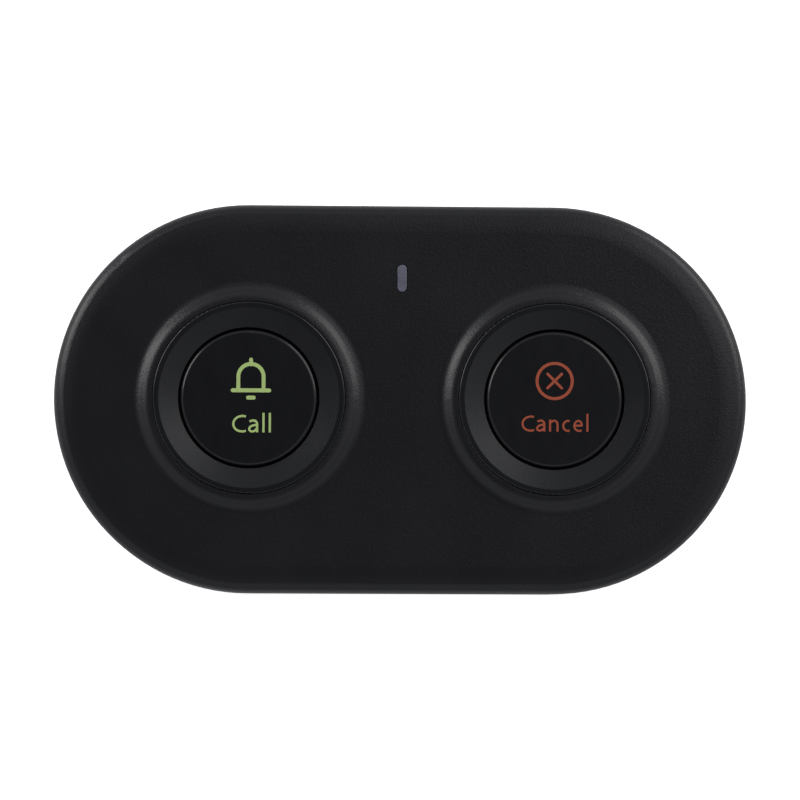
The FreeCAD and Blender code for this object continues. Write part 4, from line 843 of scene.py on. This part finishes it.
class TRANSMITTER_OT_print(bpy.types.Operator):
    """Print the symbols and words on the caps"""

    bl_idname = "transmitter.print"
    bl_label = "Print"

    def execute(self, context):
        marks = context.scene.transmitter.marks
        bell = bell_outlines(*on_cap("call_cap", marks.bell_place), marks.bell_width)
        cross = cross_outlines(*on_cap("cancel_cap", marks.cross_place), marks.cross_width)
        call_word = word_outlines("Call", *on_cap("call_cap", marks.call_word_place), marks.call_capital)
        cancel_word = word_outlines(
            "Cancel", *on_cap("cancel_cap", marks.cancel_word_place), marks.cancel_capital
        )
        call_ink = ink_finish("call_ink", marks.call_ink)
        cancel_ink = ink_finish("cancel_ink", marks.cancel_ink)
        shapes = (
            ("bell_symbol", bell, "call_button", call_ink),
            ("call_word", call_word, "call_button", call_ink),
            ("cross_symbol", cross, "cancel_button", cancel_ink),
            ("cancel_word", cancel_word, "cancel_button", cancel_ink),
        )
        face = top_of("call_cap")
        low = face - marks.ink_thickness / 2
        high = face + marks.ink_thickness
        for name, outlines, body, ink in shapes:
            dress(flat_solid(name, outlines, low, high), body, ink)
        return {"FINISHED"}


class TRANSMITTER_OT_lamp(bpy.types.Operator):
    """Finish the lens and the lamp under it"""

    bl_idname = "transmitter.lamp"
    bl_label = "Lamp"

    def execute(self, context):
        settings = context.scene.transmitter
        paint(lens_finish("lens_plastic", settings.plastics.lens_colour), "lamp_lens")
        paint(gloss_finish("lamp_body", settings.inside.lamp_colour, roughness=0.3), "status_lamp")
        return {"FINISHED"}


class TRANSMITTER_OT_pads(bpy.types.Operator):
    """Finish the foam mounting pads"""

    bl_idname = "transmitter.pads"
    bl_label = "Mounting pads"

    def execute(self, context):
        foam = foam_finish("pad_foam", context.scene.transmitter.inside.foam_colour)
        paint(foam, "call_end_pad", "cancel_end_pad")
        return {"FINISHED"}


class TRANSMITTER_OT_board(bpy.types.Operator):
    """Finish the circuit board and the parts on it"""

    bl_idname = "transmitter.board"
    bl_label = "Circuit board"

    def execute(self, context):
        inside = context.scene.transmitter.inside
        paint(solder_mask_finish("board_laminate", inside.board_colour), "circuit_board")
        package = moulded_finish(
            "chip_plastic", inside.package_colour, roughness=0.6, grain=0.05 * MM, depth=0.003 * MM
        )
        paint(package, "controller_chip", "radio_chip")
        paint(metal_finish("tinned_metal", inside.lead_colour, roughness=0.3), "chip_leads", "switch_leads")
        paint(ceramic_finish("chip_ceramic", inside.ceramic_colour), "chip_parts")
        paint(metal_finish("crystal_can", inside.crystal_colour, roughness=0.25), "crystal")
        paint(metal_finish("antenna_wire", inside.antenna_colour, roughness=0.2), "antenna_coil")
        return {"FINISHED"}


class TRANSMITTER_OT_switches(bpy.types.Operator):
    """Finish the key switches under the caps"""

    bl_idname = "transmitter.switches"
    bl_label = "Key switches"

    def execute(self, context):
        inside = context.scene.transmitter.inside
        housing = moulded_finish(
            "switch_plastic", inside.housing_colour, roughness=0.5, grain=0.06 * MM, depth=0.003 * MM
        )
        stem = moulded_finish(
            "stem_plastic", inside.stem_colour, roughness=0.42, grain=0.08 * MM, depth=0.002 * MM
        )
        sheet = metal_finish("spring_steel", inside.spring_colour, roughness=0.22, draw=(0.1, 1.0, 1.0))
        for side in SIDES:
            paint(housing, f"{side}_switch_housing")
            paint(stem, f"{side}_switch_stem")
            paint(sheet, f"{side}_switch_plate", f"{side}_switch_dome")
        return {"FINISHED"}


class TRANSMITTER_OT_cell(bpy.types.Operator):
    """Finish the coin cell, its holder and its contacts"""

    bl_idname = "transmitter.cell"
    bl_label = "Coin cell"

    def execute(self, context):
        inside = context.scene.transmitter.inside
        can = metal_finish("cell_steel", inside.cell_colour, roughness=0.2, draw=(0.15, 1.0, 1.0))
        paint(can, "coin_cell")
        holder = moulded_finish(
            "holder_plastic", inside.holder_colour, roughness=0.5, grain=0.1 * MM, depth=0.004 * MM
        )
        paint(holder, "cell_holder")
        sheet = metal_finish("contact_metal", inside.contact_colour, roughness=0.25, draw=(1.0, 0.1, 1.0))
        paint(sheet, "positive_contact", "negative_contact")
        return {"FINISHED"}


class TRANSMITTER_OT_screws(bpy.types.Operator):
    """Finish the screws"""

    bl_idname = "transmitter.screws"
    bl_label = "Screws"

    def execute(self, context):
        steel = metal_finish("screw_steel", context.scene.transmitter.inside.screw_colour, roughness=0.3)
        paint(steel, "case_screws", "board_screws")
        return {"FINISHED"}


# ----------------------------------------------------------------------------------------------------
# Stage

# How far inside the case's outline the floor's opening ends, and how far the floor lies below the pads.
FLOOR_INSET = 4 * MM
FLOOR_DROP = 0.02 * MM

# For each softbox, its name, the way to it in degrees counter-clockwise from +X and in degrees above
# level, its width and height in metres, and its share of the lamps' power.
SOFTBOXES = (
    ("left_softbox", 152, 24, 0.36, 0.5, 1.15),
    ("right_softbox", 34, 21, 0.56, 0.34, 0.92),
    ("high_softbox", 38, 60, 0.25, 0.25, 0.14),
)
SOFTBOX_DISTANCE = 0.7

# The way to the darkest part of the room, and the room's brightness from square to that way, at 0, to along
# it, at 1.
ROOM_DARKEST = (-0.1, 0, 1)
ROOM_STOPS = (
    (0.0, (0.45, 0.45, 0.46)),
    (0.3, (0.5, 0.51, 0.53)),
    (0.5, (0.69, 0.7, 0.73)),
    (0.7, (0.71, 0.73, 0.77)),
    (0.82, (0.41, 0.42, 0.46)),
    (0.9, (0.13, 0.135, 0.155)),
    (0.95, (0.08, 0.084, 0.1)),
    (0.98, (0.07, 0.074, 0.088)),
    (0.99, (0.035, 0.037, 0.045)),
    (1.0, (0.0, 0.0, 0.0)),
)

# Width of the camera's sensor, in millimetres.
SENSOR_WIDTH = 36.0


class TRANSMITTER_OT_stage(bpy.types.Operator):
    """Set up the floor, the lights and the camera"""

    bl_idname = "transmitter.stage"
    bl_label = "Stage"

    def execute(self, context):
        stage = context.scene.transmitter.stage
        self.lay_floor(stage)
        self.light_room(context.scene)
        target = Vector((0, 0, top_of("call_cap")))
        for name, azimuth, elevation, width, height, share in SOFTBOXES:
            self.add_softbox(name, target, azimuth, elevation, (width, height), stage.lamp_power * share)
        self.add_camera(context.scene, stage)
        context.scene.view_settings.view_transform = "Standard"
        return {"FINISHED"}

    @staticmethod
    def lay_floor(stage):
        """A wide pale floor that keeps the shadow, with a glow that only the camera sees.

        It is clear from below and open under the case, so that light reaches the underside.
        """
        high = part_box("base_shell")[1]
        radius = high.y - FLOOR_INSET
        centre = high.x - FLOOR_INSET - radius
        opening = [*arc((centre, 0), radius, -90, 90), *arc((-centre, 0), radius, 90, 270)]
        mesh = bmesh.new()
        inner = [mesh.verts.new((point.x, point.y, 0)) for point in opening]
        outer = [mesh.verts.new((*(point.normalized() * stage.floor_width / 2), 0)) for point in opening]
        for i in range(len(opening)):
            mesh.faces.new((inner[i - 1], outer[i - 1], outer[i], inner[i]))
        floor = add_piece("floor", mesh)
        floor.location.z = -FLOOR_DROP
        finish = Finish("floor_paper")
        behind = finish.node("ShaderNodeNewGeometry", output="Backfacing")
        seen = finish.node("ShaderNodeLightPath", output="Is Camera Ray")
        clouds = finish.noise(0.4, detail=2.0)
        floor.data.materials.append(finish.surface(
            Base_Color=finish.mottled(stage.floor_colour, clouds, dark=0.99, light=1.0),
            Roughness=0.9,
            Alpha=1.0 - behind,
            Emission_Color=finish.mixed((0, 0, 0), stage.floor_glow, seen),
            Emission_Strength=1.0,
        ))

    @staticmethod
    def light_room(scene):
        """A pale room, darkest overhead and a little to the left."""
        world = bpy.data.worlds.new("room")
        scene.world = world
        world.use_nodes = True
        room = Graph(world.node_tree)
        way = room.node("ShaderNodeTexCoord", output="Generated")
        along = room.vector("DOT_PRODUCT", way, Vector(ROOM_DARKEST).normalized(), output="Value")
        light = room.node("ShaderNodeBackground", {}, {"Color": room.ramp(along, ROOM_STOPS)})
        room.node("ShaderNodeOutputWorld", {}, {"Surface": light})

    @staticmethod
    def add_softbox(name, target, azimuth, elevation, size, power):
        """A softbox that faces the target."""
        lamp = bpy.data.lights.new(name, "AREA")
        lamp.shape = "RECTANGLE"
        lamp.size, lamp.size_y = size
        lamp.energy = power
        holder = bpy.data.objects.new(name, lamp)
        bpy.context.scene.collection.objects.link(holder)
        turn = math.radians(azimuth)
        rise = math.radians(elevation)
        away = Vector((math.cos(turn) * math.cos(rise), math.sin(turn) * math.cos(rise), math.sin(rise)))
        holder.location = target + away * SOFTBOX_DISTANCE
        holder.rotation_euler = away.to_track_quat("Z", "Y").to_euler()

    @staticmethod
    def add_camera(scene, stage):
        """A camera above the case, which leans a little off the upright."""
        data = bpy.data.cameras.new("camera")
        data.sensor_width = SENSOR_WIDTH
        data.lens = SENSOR_WIDTH * stage.camera_distance / stage.view_width
        camera = bpy.data.objects.new("camera", data)
        scene.collection.objects.link(camera)
        tilt = Vector((*stage.camera_lean, 1.0)).normalized()
        up = Vector((math.sin(stage.camera_roll), math.cos(stage.camera_roll), 0))
        across = up.cross(tilt).normalized()
        turn = Matrix((across, tilt.cross(across), tilt)).transposed().to_4x4()
        place = Vector(stage.camera_aim) + tilt * stage.camera_distance
        camera.matrix_world = Matrix.Translation(place) @ turn
        scene.camera = camera


# ----------------------------------------------------------------------------------------------------
# Panel and registration

OPERATORS = (
    TRANSMITTER_OT_case, TRANSMITTER_OT_collars, TRANSMITTER_OT_caps, TRANSMITTER_OT_print,
    TRANSMITTER_OT_lamp, TRANSMITTER_OT_pads, TRANSMITTER_OT_board, TRANSMITTER_OT_switches,
    TRANSMITTER_OT_cell, TRANSMITTER_OT_screws, TRANSMITTER_OT_stage,
)


class TRANSMITTER_PT_panel(bpy.types.Panel):
    """Lists the settings of the transmitter and the steps that dress it"""

    bl_idname = "TRANSMITTER_PT_panel"
    bl_label = "Transmitter"
    bl_space_type = "VIEW_3D"
    bl_region_type = "UI"
    bl_category = "Transmitter"

    def draw(self, context):
        settings = context.scene.transmitter
        for group in (settings.plastics, settings.marks, settings.inside, settings.stage):
            column = self.layout.column()
            for name in group.bl_rna.properties.keys():
                if name not in ("rna_type", "name"):
                    column.prop(group, name)
        for operator in OPERATORS:
            self.layout.operator(operator.bl_idname)


CLASSES = (
    TransmitterPlastics, TransmitterPrint, TransmitterInside, TransmitterStage, TransmitterSettings,
    *OPERATORS, TRANSMITTER_PT_panel,
)


def register():
    """Registers the classes and the settings."""
    for cls in CLASSES:
        bpy.utils.register_class(cls)
    bpy.types.Scene.transmitter = bpy.props.PointerProperty(type=TransmitterSettings)


def unregister():
    """Removes the settings and the classes."""
    del bpy.types.Scene.transmitter
    for cls in reversed(CLASSES):
        bpy.utils.unregister_class(cls)


def main():
    """Builds the scene."""
    register()
    for operator in OPERATORS:
        category, name = operator.bl_idname.split(".")
        if getattr(getattr(bpy.ops, category), name)() != {"FINISHED"}:
            raise RuntimeError(f"{operator.bl_label} could not be built")
    bpy.context.view_layer.update()


if __name__ == "__main__":
    main()
